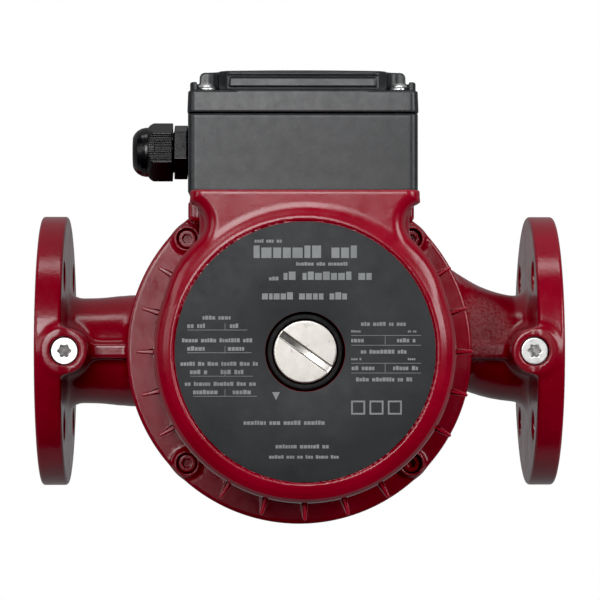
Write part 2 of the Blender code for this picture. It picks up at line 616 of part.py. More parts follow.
def cross_screw(name, x, y, seat, head_radius, head_height, shank_radius, end):
    """A pan-head screw with a cross recess, standing on seat and running down to end."""
    screw = rods(name, [((x, y, end), (x, y, seat + 0.2 * MM))], shank_radius, "zinc_steel", sides=12)
    head = bmesh.new()
    put_rod(head, (x, y, seat), (x, y, seat + head_height), head_radius, head_radius * 0.72, sides=20)
    join(screw, from_bmesh(name + "_head", head, None))
    low, high, wide, narrow = seat + head_height - 1 * MM, seat + head_height + 2 * MM, 2 * MM, 0.45 * MM
    for half_x, half_y, suffix in ((wide, narrow, "_recess_along"), (narrow, wide, "_recess_across")):
        cut(screw, boxes(name + suffix, [((x - half_x, y - half_y, low), (x + half_x, y + half_y, high))]))


def make_box_fixings():
    """The seal under the box and the two screws that hold the box to the motor's neck."""
    outer = rounded_rectangle((-48 * MM, -147 * MM), (48 * MM, -57 * MM), 3 * MM)
    inner = rounded_rectangle((-35 * MM, -141 * MM), (35 * MM, -69 * MM), 3 * MM)
    screws = [[(x + dx, dy - BOX_MIDDLE) for dx, dy in (on_circle(3 * MM, 30 * i) for i in range(12))]
              for x in BOX_SCREWS]
    plate("terminal_box_seal", outer, NECK_TOP + GAP, BOX_BOTTOM - GAP, "rubber", None, [inner, *screws])
    for i, x in enumerate(BOX_SCREWS):
        cross_screw(f"terminal_box_screw_{i + 1}", x, -BOX_MIDDLE, BOX_BOTTOM + BOX_WALL + GAP, 4 * MM,
                    2.4 * MM, 2 * MM, 60 * MM)


def make_lid():
    lid = plate("terminal_lid", box_outline(-0.5 * MM, BOX_CORNER + 0.5 * MM), LID_BOTTOM, LID_LEDGE,
                "black_plastic", None)
    shoulder = plate("lid_shoulder", box_outline(0.7 * MM), LID_BOTTOM + 1 * MM, LID_SHOULDER, None, None)
    raised = rounded_rectangle((-45.2 * MM, -BOX_FRONT + 3.4 * MM), (45.2 * MM, -BOX_BACK - 3.4 * MM), 4 * MM)
    top = plate("lid_raised_top", raised, LID_BOTTOM + 1 * MM, LID_TOP, None, None)
    pockets = []
    for x, y in lid_corners():
        side, front = math.copysign(1, x), math.copysign(1, y + BOX_MIDDLE)
        ends_x = sorted((x - side * 10.5 * MM, x + side * 20 * MM))
        ends_y = sorted((y - front * 7 * MM, y + front * 20 * MM))
        pockets.append(((ends_x[0], ends_y[0], LID_LEDGE), (ends_x[1], ends_y[1], 130 * MM)))
    join(lid, shoulder, top)
    step = plate("gasket_step", box_outline(0.9 * MM), 90 * MM, LID_INSIDE, None, None)
    cut(lid, boxes("lid_pockets", pockets), step,
        plate("lid_inside", cross_outline(), 90 * MM, 114 * MM, None, None),
        rods("lid_screw_holes", [((x, y, 90 * MM), (x, y, 120 * MM)) for x, y in lid_corners()], 2.3 * MM,
             sides=12))
    outer = rounded_rectangle((-48.1 * MM, -158.6 * MM), (48.1 * MM, -55.4 * MM), 2.6 * MM)
    inner = rounded_rectangle((-46.7 * MM, -157.2 * MM), (46.7 * MM, -56.8 * MM), 1.6 * MM)
    plate("lid_gasket", outer, BOX_TOP + GAP, LID_INSIDE - GAP, "rubber", None, [inner])
    for i, (x, y) in enumerate(lid_corners()):
        cross_screw(f"lid_screw_{i + 1}", x, y, LID_LEDGE + GAP, 4.5 * MM, 3.4 * MM, 1.9 * MM, 92 * MM)


def cross_outline():
    """The lid's hollow, seen from above: a rectangle without its four screw corners."""
    x0, x1 = 29 * MM, 46 * MM
    y0, y1 = 36 * MM, 49.6 * MM
    draft = 1 * MM
    quarter = [(x1, y0 - draft), (x0, y0), (x0 - draft, y1)]
    points = quarter + [(-x, y) for x, y in reversed(quarter)]
    points += [(-x, -y) for x, y in quarter] + [(x, -y) for x, y in reversed(quarter)]
    return [(x, y - BOX_MIDDLE) for x, y in points]


def make_gland():
    """Cable gland along -X: body through the wall, washer, locknut, clamping nut and rubber insert."""
    axis = bpy.data.objects.new("gland_axis", None)
    axis.location = (0, -GLAND_H, GLAND_Z)
    axis.rotation_euler = (0, math.radians(-90), 0)
    PARTS.objects.link(axis)
    wall, thread, flat = BOX_HALF_WIDTH, GLAND_THREAD_RADIUS, math.radians(30)
    body = rods("gland_body", [((0, 0, wall + 1.6 * MM), (0, 0, 57 * MM))], 13 * MM, "gland_plastic", axis,
                sides=6, turn=flat)
    join(body, rods("gland_thread", [((0, 0, 40 * MM), (0, 0, 53 * MM))], thread, None, axis),
         rods("gland_collar", [((0, 0, 53 * MM), (0, 0, 62 * MM))], 9.2 * MM, None, axis))
    cut(body, rods("gland_bore", [((0, 0, 30 * MM), (0, 0, 80 * MM))], 6 * MM, None, axis),
        rods("gland_insert_seat", [((0, 0, 59.5 * MM), (0, 0, 80 * MM))], 8 * MM, None, axis))
    ring("gland_washer", thread + GAP, 12.4 * MM, wall + GAP, wall + 1.3 * MM, "rubber", axis, COARSE)
    inner_wall = wall - BOX_WALL
    locknut = rods("gland_locknut", [((0, 0, inner_wall - 4.5 * MM), (0, 0, inner_wall - GAP))], 14 * MM,
                   "gland_plastic", axis, sides=6)
    cut(locknut, rods("locknut_bore", [((0, 0, 20 * MM), (0, 0, 60 * MM))], thread + GAP, None, axis))
    insert = [(7.7 * MM, 67.5 * MM), (7.7 * MM, 59.9 * MM), (5.2 * MM, 59.9 * MM), (5.2 * MM, 70 * MM),
              (6 * MM, 70 * MM)]
    turned("gland_insert", insert, "rubber", axis, COARSE)
    nut = rods("gland_nut", [((0, 0, 57.7 * MM), (0, 0, 68.6 * MM))], 13.5 * MM, "gland_plastic", axis,
               sides=6, turn=flat)
    dome = [(0, 75.9 * MM), (6.6 * MM, 75.9 * MM), (9.2 * MM, 74.6 * MM), (10.8 * MM, 72 * MM),
            (11.3 * MM, 68 * MM), (0, 68 * MM)]
    inside = [(0, 90 * MM), (5.6 * MM, 90 * MM), (5.6 * MM, 73.6 * MM), (8.1 * MM, 69.4 * MM),
              (8.1 * MM, 65 * MM), (9.5 * MM, 63 * MM), (9.5 * MM, 50 * MM), (0, 50 * MM)]
    join(nut, turned("gland_dome", dome, None, axis, COARSE, closed=False))
    cut(nut, turned("gland_nut_inside", inside, None, axis, COARSE, closed=False))


def make_box_contents():
    """Terminal block, run capacitor with its clip, and the motor's three leads."""
    floor = BOX_BOTTOM + BOX_WALL + GAP
    front, back, block_top = -150 * MM, -130 * MM, floor + 15 * MM
    screw_rows = (-145 * MM, -135 * MM)
    poles = [x * MM for x in (-18, -6, 6, 18)]
    wire_z = floor + 4.5 * MM
    block = boxes("terminal_block", [((-25 * MM, front, floor), (25 * MM, back, block_top))], "white_plastic")
    cut(block,
        rods("screw_wells", [((x, y, block_top - 6 * MM), (x, y, block_top + 5 * MM))
                             for x in poles for y in screw_rows], 2.9 * MM, sides=10),
        rods("wire_mouths", [((x, front - 5 * MM, wire_z), (x, front + 12 * MM, wire_z)) for x in poles],
             2.2 * MM, sides=8),
        rods("lead_mouths", [((x, back - 6.5 * MM, wire_z), (x, back + 5 * MM, wire_z)) for x in poles],
             2.2 * MM, sides=8))
    for i, (x, y) in enumerate((x, y) for x in poles for y in screw_rows):
        screw = rods(f"terminal_screw_{i + 1}", [((x, y, block_top - 5.7 * MM), (x, y, block_top - 2 * MM))],
                     2.5 * MM, "brass_nickel", sides=10)
        cut(screw, boxes(f"terminal_screw_{i + 1}_slot", [((x - 4 * MM, y - 0.4 * MM, block_top - 3 * MM),
                                                           (x + 4 * MM, y + 0.4 * MM, block_top + 3 * MM))]))
    can_y, can_z = -74 * MM, floor + 14 * MM
    capacitor = rods("capacitor", [((-31 * MM, can_y, can_z), (31 * MM, can_y, can_z))], 12.5 * MM,
                     "white_plastic", sides=32)
    bevel = capacitor.modifiers.new("round edges", "BEVEL")
    bevel.width = 1.5 * MM
    bevel.segments = 2
    clip = rods("capacitor_clip", [((-5 * MM, can_y, can_z), (5 * MM, can_y, can_z))], 13.8 * MM, "bare_steel",
                sides=32)
    cut(clip, rods("clip_inside", [((-9 * MM, can_y, can_z), (9 * MM, can_y, can_z))], 12.8 * MM, sides=32),
        boxes("clip_mouth", [((-9 * MM, can_y - 9 * MM, can_z + 3 * MM),
                              (9 * MM, can_y + 9 * MM, can_z + 20 * MM))]))
    for i, (x, hole_x) in enumerate(((-18, -4), (-6, 0), (6, 4))):
        route = [(hole_x, -105, 60), (hole_x, -107, 74), (x * 0.7 + hole_x * 0.3, -113, 81),
                 (x, -122, 79), (x, -127.5, wire_z / MM), (x, -135.8, wire_z / MM)]
        tube(f"motor_lead_{i + 1}", [Vector(p) * MM for p in route], [1.3 * MM] * len(route), "copper",
             roundness=1, resolution=3)


# ---------------------------------------------------------------- build
make_pump_housing()
make_tapping_plugs()
make_neck_ring()
make_impeller()
make_rotor()
make_bearings()
make_stator()
make_motor_housing()
make_vent_plug()
make_terminal_box()
make_box_fixings()
make_lid()
make_gland()
make_box_contents()
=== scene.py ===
"""Looks of a flanged circulator pump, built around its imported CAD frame.

Lengths in this file are millimetres in the frame's axes, unless a name ends in _m. X runs along the pipe, the
motor points along -Y, and "height" h is the distance from the pipe's axis towards the motor's front, so h = -y.
"""

import json
import math
import random

import bmesh
import bpy
import numpy as np
from mathutils import Matrix, Vector


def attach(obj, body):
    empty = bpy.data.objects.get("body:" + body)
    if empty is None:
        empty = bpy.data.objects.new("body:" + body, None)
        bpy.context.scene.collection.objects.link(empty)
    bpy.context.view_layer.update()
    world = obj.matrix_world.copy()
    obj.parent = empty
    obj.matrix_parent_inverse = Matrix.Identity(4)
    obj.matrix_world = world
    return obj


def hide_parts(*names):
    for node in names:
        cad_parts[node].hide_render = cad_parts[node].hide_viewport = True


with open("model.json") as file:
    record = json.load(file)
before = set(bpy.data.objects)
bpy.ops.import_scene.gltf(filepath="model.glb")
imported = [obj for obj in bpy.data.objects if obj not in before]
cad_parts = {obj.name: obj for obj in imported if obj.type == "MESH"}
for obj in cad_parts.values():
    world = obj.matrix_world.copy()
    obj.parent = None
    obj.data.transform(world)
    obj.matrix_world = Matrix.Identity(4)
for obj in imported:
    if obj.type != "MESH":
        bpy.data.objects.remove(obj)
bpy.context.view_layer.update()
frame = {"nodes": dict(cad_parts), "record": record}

MM = 0.001
COARSER = 1
scene = bpy.context.scene
display = scene.view_settings
display.view_transform = "Standard"
display.use_curve_mapping = True
display.curve_mapping.black_level = (0.005, 0.005, 0.005)

# ---- sizes shared by several pieces
FLANGE_RADIUS, FLANGE_FACE, FLANGE_BACK = 65.0, 123.5, 111.0
TAPPING_X, TAPPING_SEAT_RADIUS = 109.3, 6.75
BOLT_OFFSET = 50 * math.sqrt(0.5)              # flange bolt holes, in Y and in Z
MOTOR_BOLT_OFFSET = 74.5 * math.sqrt(0.5)      # motor bolts, in X and in Z
RING_BACK, RING_FRONT, RING_RADIUS = 37.8, 48.0, 81.2
DRUM_RADIUS, FIN_TIP = 61.6, 70.6
MOTOR_FRONT, PLUG_HOLE, PLUG_SEAT = 214.9, 16.5, 201.0
BOX_MIDDLE, BOX_SCREW_X = 107.0, 39.0


# ---- signed distance fields
def blend_min(a, b, k):
    """Union of two fields with a fillet about k wide."""
    h = np.clip(0.5 + 0.5 * (b - a) / k, 0, 1)
    return b + (a - b) * h - k * h * (1 - h)


def blend_max(a, b, k):
    """Intersection of two fields with a rounded edge about k wide."""
    return -blend_min(-a, -b, k)


def rounded(across, along, radius):
    """A solid from its distance across and along, with its edge rounded."""
    across, along = across + radius, along + radius
    return np.hypot(np.maximum(across, 0), np.maximum(along, 0)) + np.minimum(np.maximum(across, along), 0) - radius


def disc(r, h, radius, low, high, edge):
    """A cylinder of that radius from low to high along its axis, with rounded edges."""
    return rounded(r - radius, np.abs(h - (low + high) / 2) - (high - low) / 2, edge)


def slab(x, y, z, low, high, edge):
    """A box between two corners with rounded edges."""
    away = [np.abs(v - (a + b) / 2) - (b - a) / 2 + edge for v, a, b in zip((x, y, z), low, high)]
    outside = np.sqrt(sum(np.maximum(d, 0) ** 2 for d in away))
    return outside + np.minimum(np.maximum(np.maximum(away[0], away[1]), away[2]), 0) - edge


def lattice(low, high, step):
    """Grid planes at whole multiples of step, from at or below low to at or above high."""
    return step * np.arange(math.floor(low / step + 1e-6), math.ceil(high / step - 1e-6) + 1)


OFF_GRID = 3e-4                  # keeps a flat face off a grid plane; the points still move onto the face itself


def surface_of(field, axes, yields=None):
    """(points, quads) of the field's zero surface: one vertex in each mixed cell, moved onto the surface.

    A piece that yields along an axis leaves the faces inside its outermost cells there to its neighbour.
    """
    counts = [len(axis) for axis in axes]
    grid = np.meshgrid(*(axis.astype(np.float32) for axis in axes), indexing="ij", sparse=True)
    value = np.float32(OFF_GRID) + np.broadcast_to(field(*grid), counts).astype(np.float32)
    inside = value < 0
    corners = [(i, j, k) for i in (0, 1) for j in (0, 1) for k in (0, 1)]
    cells = tuple(n - 1 for n in counts)
    total = np.zeros(cells, np.int8)
    for i, j, k in corners:
        total += inside[i:i + cells[0], j:j + cells[1], k:k + cells[2]]
    mixed = np.argwhere((total > 0) & (total < 8))
    index = np.full(cells, -1, np.int64)
    index[tuple(mixed.T)] = np.arange(len(mixed))

    points, hits = np.zeros((len(mixed), 3)), np.zeros(len(mixed))
    for corner in corners:
        for axis in range(3):
            if corner[axis]:
                continue
            other = list(corner)
            other[axis] = 1
            a = value[tuple((mixed + corner).T)].astype(float)
            b = value[tuple((mixed + other).T)].astype(float)
            crosses = (a < 0) != (b < 0)
            share = np.where(crosses, a / np.where(crosses, a - b, 1), 0)
            place = np.array(corner, float) + share[:, None] * np.eye(3)[axis]
            points += np.where(crosses[:, None], place, 0)
            hits += crosses
    points /= hits[:, None]
    for a, axis in enumerate(axes):
        at = mixed[:, a]
        points[:, a] = axis[at] + points[:, a] * (axis[at + 1] - axis[at])

    step = min(axis[1] - axis[0] for axis in axes)
    start, reach, nudge = points.copy(), 0.6 * step, 0.05 * step
    for _ in range(4):
        here = field(*points.T)
        slope = np.stack([field(*(points + nudge * np.eye(3)[a]).T) - here for a in range(3)], 1) / nudge
        move = here[:, None] * slope / np.maximum((slope ** 2).sum(1), 0.2)[:, None]
        points = np.clip(points - 0.9 * move, start - reach, start + reach)

    quads = []
    for axis in range(3):
        u, v = (axis + 1) % 3, (axis + 2) % 3
        first = [slice(1, n - 1) for n in counts]
        second = list(first)
        first[axis], second[axis] = slice(0, counts[axis] - 1), slice(1, counts[axis])
        before, after = inside[tuple(first)], inside[tuple(second)]
        at = np.argwhere(before != after)
        if axis == yields:
            at = at[(at[:, axis] > 0) & (at[:, axis] < counts[axis] - 2)]
        flip = after[tuple(at.T)]
        at[:, u] += 1
        at[:, v] += 1
        around = []
        for du, dv in ((-1, -1), (0, -1), (0, 0), (-1, 0)):
            cell = at.copy()
            cell[:, u] += du
            cell[:, v] += dv
            around.append(index[tuple(cell.T)])
        face = np.stack(around, 1)
        face[flip] = face[flip][:, ::-1]
        quads.append(face)
    return points, np.concatenate(quads)


# ---- making objects
def add(name, mesh, body, slot, replaces=(), material=None):
    """A piece of the pump: it rides on a body, takes its finish from a record slot unless a material is given, and may
    stand for CAD nodes.
    """
    obj = bpy.data.objects.new(name, mesh)
    scene.collection.objects.link(obj)
    mesh.materials.append(material or FINISH_OF_SLOT[slot])
    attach(obj, body)
    if replaces:
        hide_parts(*replaces)
    return obj


def mesh_of(name, points, faces):
    mesh = bpy.data.meshes.new(name)
    mesh.from_pydata((np.asarray(points, float) * MM).tolist(), [], np.asarray(faces).tolist())
    mesh.update()
    mesh.shade_smooth()
    return mesh


def copies(mesh, count):
    """The mesh and copies of it, one for each piece that has this shape."""
    return [mesh] + [mesh.copy() for _ in range(count - 1)]


def field_mesh(name, field, low, high, step):
    """The field's surface between two corners, on a grid of one step."""
    return mesh_of(name, *surface_of(field, [lattice(a, b, step) for a, b in zip(low, high)]))


def outline_field(u, v, outline):
    """Signed distance to a closed outline of (u, v) points."""
    nearest, inside = None, None
    for (u0, v0), (u1, v1) in zip(outline, list(outline[1:]) + [outline[0]]):
        eu, ev = u1 - u0, v1 - v0
        du, dv = u - u0, v - v0
        t = np.clip((du * eu + dv * ev) / (eu * eu + ev * ev), 0, 1)
        gap = (du - t * eu) ** 2 + (dv - t * ev) ** 2
        crossing = ((v0 <= v) != (v1 <= v)) & ((v - v0) * (eu / (ev or 1e-9)) + u0 > u)
        nearest = gap if nearest is None else np.minimum(nearest, gap)
        inside = crossing if inside is None else inside ^ crossing
    return np.where(inside, -1, 1) * np.sqrt(nearest)


def path_field(x, y, z, line, radii):
    """Distance to a round rod whose radius changes along a line of points."""
    nearest = None
    for a, b, ra, rb in zip(line, line[1:], radii, radii[1:]):
        a, along = np.array(a, float), np.subtract(b, a)
        dx, dy, dz = x - a[0], y - a[1], z - a[2]
        t = np.clip((dx * along[0] + dy * along[1] + dz * along[2]) / along.dot(along), 0, 1)
        gap = np.sqrt((dx - t * along[0]) ** 2 + (dy - t * along[1]) ** 2 + (dz - t * along[2]) ** 2)
        gap = gap - (ra + t * (rb - ra))
        nearest = gap if nearest is None else np.minimum(nearest, gap)
    return nearest


def smooth_line(points, radii, count=4):
    """A denser line of points and radii through the given ones."""
    rows = [np.array([*p, r], float) for p, r in zip(points, radii)]
    rows = [2 * rows[0] - rows[1], *rows, 2 * rows[-1] - rows[-2]]
    dense = []
    for a, b, c, d in zip(rows, rows[1:], rows[2:], rows[3:]):
        for t in np.arange(count) / count:
            dense.append(0.5 * (2 * b + (c - a) * t + (2 * a - 5 * b + 4 * c - d) * t ** 2
                                + (3 * b - a - 3 * c + d) * t ** 3))
    dense.append(rows[-2])
    return [row[:3] for row in dense], [row[3] for row in dense]


def arc(centre, radius, start, end, count):
    """Points on an arc, angles in degrees."""
    turns = np.radians(np.linspace(start, end, count))
    return [(centre[0] + radius * math.cos(a), centre[1] + radius * math.sin(a)) for a in turns]


def round_corners(points, radii, count=5, closed=True):
    """An outline with its corners replaced by arcs of about the given radii."""
    made, total = [], len(points)
    for i, (point, radius) in enumerate(zip(points, radii)):
        if not radius or (not closed and i in (0, total - 1)):
            made.append(tuple(point))
            continue
        here = Vector(point)
        before, after = Vector(points[i - 1]) - here, Vector(points[(i + 1) % total]) - here
        half = before.angle(after) / 2
        reach = min(radius / math.tan(half), 0.49 * before.length, 0.49 * after.length)
        start, end = here + before.normalized() * reach, here + after.normalized() * reach
        for t in np.linspace(0, 1, count):
            made.append(tuple(start * (1 - t) ** 2 + here * 2 * t * (1 - t) + end * t ** 2))
    return made


def skin(name, rings, loop=False):
    """Quads between rings of equally many points; the first and last ring are capped unless it loops."""
    count = len(rings[0])
    points = [p for ring in rings for p in ring]
    faces = []
    pairs = [(i, i + 1) for i in range(len(rings) - 1)] + ([(len(rings) - 1, 0)] if loop else [])
    for a, b in pairs:
        for i in range(count):
            j = (i + 1) % count
            faces.append((a * count + i, a * count + j, b * count + j, b * count + i))
    if not loop:
        faces.append(tuple(range(count))[::-1])
        faces.append(tuple((len(rings) - 1) * count + i for i in range(count)))
    bm = bmesh.new()
    verts = [bm.verts.new([c * MM for c in p]) for p in points]
    for face in faces:
        bm.faces.new([verts[i] for i in face])
    bmesh.ops.remove_doubles(bm, verts=bm.verts, dist=1e-7)
    bmesh.ops.recalc_face_normals(bm, faces=bm.faces)
    mesh = bpy.data.meshes.new(name)
    bm.to_mesh(mesh)
    bm.free()
    mesh.shade_smooth()
    mesh.set_sharp_from_angle(angle=math.radians(35))
    return mesh


def motor_axis(u, v, height):
    """A point seen from the motor's front: u to the right, v up, height towards the viewer."""
    return u, -height, v


def gland_axis(u, v, height):
    """A point round the cable gland's axis, height towards -X."""
    return -height, -GLAND_H + u, GLAND_Z + v


def turned(name, profile, place=motor_axis, steps=96):
    """A closed profile of (radius, height) turned about an axis."""
    rings = [[place(r * math.cos(a), r * math.sin(a), h) for a in np.arange(steps) * math.tau / steps]
             for r, h in profile]
    return skin(name, rings, loop=True)


# ---- materials
class Shader:
    """A node material being built: one Principled shader fed by procedural textures."""

    def __init__(self, name, roughness, metallic=0.0, **sockets):
        self.material = bpy.data.materials.new(name)
        self.material.use_nodes = True
        self.tree = self.material.node_tree
        self.shader = self.tree.nodes["Principled BSDF"]
        self.shader.inputs["Metallic"].default_value = metallic
        self.shader.inputs["Roughness"].default_value = roughness
        for socket, value in sockets.items():
            self.shader.inputs[socket.replace("_", " ")].default_value = value
        self.place = self.add("ShaderNodeTexCoord").outputs["Object"]

    def add(self, kind, inputs=(), **settings):
        node = self.tree.nodes.new(kind)
        for key, value in settings.items():
            setattr(node, key, value)
        for key, value in dict(inputs).items():
            if isinstance(value, bpy.types.NodeSocket):
                self.tree.links.new(value, node.inputs[key])
            else:
                node.inputs[key].default_value = value
        return node

    def noise(self, size, detail=3.0, roughness=0.5, stretch=(1, 1, 1), shift=0.0):
        """Noise whose blobs are about size mm, stretched along the frame's axes."""
        placed = self.add("ShaderNodeMapping", {"Vector": self.place, "Location": (shift, shift, shift),
                                                "Scale": tuple(1 / s for s in stretch)})
        return self.add("ShaderNodeTexNoise", {"Vector": placed.outputs[0], "Scale": 1000 / size,
                                               "Detail": detail, "Roughness": roughness}).outputs["Fac"]

    def ramp(self, value, low, high, to_low=0.0, to_high=1.0):
        return self.add("ShaderNodeMapRange", {"Value": value, "From Min": low, "From Max": high,
                                               "To Min": to_low, "To Max": to_high}).outputs["Result"]

    def maths(self, operation, a, b=0.0, c=0.0):
        return self.add("ShaderNodeMath", {0: a, 1: b, 2: c}, operation=operation).outputs[0]

    def mix(self, share, a, b):
        node = self.add("ShaderNodeMix", {"Factor": share}, data_type="RGBA")
        for key, value in ((6, a), (7, b)):
            if isinstance(value, bpy.types.NodeSocket):
                self.tree.links.new(value, node.inputs[key])
            else:
                node.inputs[key].default_value = (*value, 1)
        return node.outputs[2]

    def edges(self, low=0.52, high=0.62):
        """1 on outer edges, 0 on flats and in hollows."""
        return self.ramp(self.add("ShaderNodeNewGeometry").outputs["Pointiness"], low, high)

    def bump(self, height, depth, before=None):
        """Bump whose full height is depth mm."""
        inputs = {"Height": height, "Strength": 1.0, "Distance": depth * MM}
        if before is not None:
            inputs["Normal"] = before
        return self.add("ShaderNodeBump", inputs).outputs[0]

    def done(self, colour=None, roughness=None, normal=None):
        for socket, value in (("Base Color", colour), ("Roughness", roughness), ("Normal", normal)):
            if value is not None:
                self.tree.links.new(value, self.shader.inputs[socket])
        return self.material


def red_paint(name, grain, depth, bare_patch=False):
    """Gloss dark red enamel over a casting: mottled, and pinker on outer edges, partly paint worn thin there and partly
    a painted edge highlight.
    """
    s = Shader(name, 0.2, Specular_IOR_Level=0.5)
    blotch = s.noise(28, 4, 0.6)
    speck = s.noise(1.6, 2, 0.6, shift=3.0)
    colour = s.mix(s.ramp(blotch, 0.35, 0.65), (0.25, 0.0022, 0.0135), (0.31, 0.0040, 0.0190))
    colour = s.mix(s.ramp(speck, 0.62, 0.76, 0, 0.20), colour, (0.42, 0.05, 0.06))
    # pinkish paler colour on outer edges: partly paint worn thin, partly a painted edge highlight
    colour = s.mix(s.maths("MULTIPLY", s.edges(0.53, 0.64), 0.55), colour, (0.55, 0.16, 0.17))
    rough = s.ramp(s.noise(9, 5, 0.65, shift=1.0), 0.3, 0.7, 0.14, 0.25)
    peel = s.bump(s.noise(grain, 3, 0.6), depth)
    normal = s.bump(s.noise(grain * 7, 3, 0.5), depth * 1.6, peel)
    if bare_patch:
        away = s.add("ShaderNodeVectorMath", {0: s.place, 1: tuple(c * MM for c in WORN_CENTRE)}, operation="DISTANCE")
        worn = s.ramp(away.outputs["Value"], WORN_RADIUS * MM, 0.45 * WORN_RADIUS * MM)
        grit = s.noise(1.3, 4, 0.75, shift=8.0)
        worn = s.maths("MULTIPLY", worn, s.ramp(grit, 0.40, 0.56))
        colour = s.mix(worn, colour, (0.40, 0.115, 0.125))
        rough = s.maths("ADD", rough, s.maths("MULTIPLY", worn, 0.35))
        normal = s.bump(s.maths("MULTIPLY", grit, worn), 0.35, normal)
    return s.done(colour, rough, normal)


def moulded_plastic(name, colour, other, grain, depth, roughness, worn=(0.35, 0.36, 0.37)):
    """Eroded moulded plastic: a fine even grain, slightly cloudy, paler on its edges."""
    s = Shader(name, roughness, Specular_IOR_Level=0.5)
    cloud = s.ramp(s.noise(14, 5, 0.65), 0.35, 0.65)
    tint = s.mix(cloud, colour, other)
    tint = s.mix(s.ramp(s.noise(grain * 1.6, 2, 0.6, shift=2.0), 0.5, 0.75, 0, 0.04), tint, worn)
    tint = s.mix(s.maths("MULTIPLY", s.edges(0.53, 0.68), 0.10), tint, worn)
    rough = s.ramp(s.noise(5, 4, 0.6, shift=5.0), 0.3, 0.7, roughness - 0.04, roughness + 0.05)
    return s.done(tint, rough, s.bump(s.noise(grain, 2, 0.7), depth))


def metal(name, colour, other, roughness, grain=0.5, depth=0.006, rings=None, stretch=(1, 1, 1)):
    """Bare or plated metal, with tool marks as rings about the motor's axis or as a fine stretched grain."""
    s = Shader(name, roughness, 1.0)
    tint = s.mix(s.ramp(s.noise(6, 5, 0.6), 0.35, 0.65), colour, other)
    tint = s.mix(s.ramp(s.noise(0.6, 3, 0.7, shift=4.0), 0.5, 0.75, 0, 0.22), tint, tuple(0.6 * c for c in other))
    rough = s.ramp(s.noise(3.5, 4, 0.7, shift=6.0), 0.3, 0.7, roughness * 0.75, roughness * 1.3)
    normal = s.bump(s.noise(grain, 3, 0.6, stretch), depth)
    if rings:
        axes = s.add("ShaderNodeSeparateXYZ", {"Vector": s.place})
        squares = [s.maths("POWER", axes.outputs[a], 2.0) for a in rings[1]]
        radius = s.maths("SQRT", s.maths("ADD", *squares))
        wave = s.maths("SINE", s.maths("MULTIPLY", radius, math.tau * 1000 / rings[0]))
        normal = s.bump(wave, depth * 0.8, normal)
    return s.done(tint, rough, normal)


def striped(name, colour, other, roughness, metallic, pitch, axis, depth):
    """A stack of sheets or a winding: lines across one axis of the frame."""
    s = Shader(name, roughness, metallic)
    along = s.add("ShaderNodeSeparateXYZ", {"Vector": s.place}).outputs[axis]
    wobble = s.maths("MULTIPLY", s.noise(9, 3, 0.6), 0.0006)
    wave = s.maths("SINE", s.maths("MULTIPLY", s.maths("ADD", along, wobble), math.tau * 1000 / pitch))
    tint = s.mix(s.ramp(s.noise(4, 4, 0.6), 0.35, 0.65), colour, other)
    tint = s.mix(s.ramp(wave, -1.0, -0.2, 0.5, 0.0), tint, tuple(0.4 * c for c in colour))
    rough = s.ramp(s.noise(2, 3, 0.6, shift=2.0), 0.3, 0.7, roughness - 0.08, roughness + 0.1)
    return s.done(tint, rough, s.bump(wave, depth))


def rubber(name):
    s = Shader(name, 0.62, Specular_IOR_Level=0.25)
    tint = s.mix(s.ramp(s.noise(5, 4, 0.6), 0.35, 0.65), (0.006, 0.006, 0.006), (0.013, 0.013, 0.014))
    rough = s.ramp(s.noise(2.5, 4, 0.6, shift=2.0), 0.3, 0.7, 0.5, 0.72)
    return s.done(tint, rough, s.bump(s.noise(0.7, 3, 0.6), 0.02))


def nameplate_film(name):
    s = Shader(name, 0.42, Specular_IOR_Level=0.3)
    tint = s.mix(s.ramp(s.noise(16, 4, 0.6), 0.35, 0.65), (0.022, 0.024, 0.026), (0.032, 0.034, 0.036))
    tint = s.mix(s.ramp(s.noise(0.9, 2, 0.7, shift=3.0), 0.62, 0.75, 0, 0.12), tint, (0.15, 0.155, 0.16))
    rough = s.ramp(s.noise(6, 4, 0.6, shift=1.0), 0.3, 0.7, 0.50, 0.60)
    return s.done(tint, rough, s.bump(s.noise(0.8, 2, 0.6), 0.012))


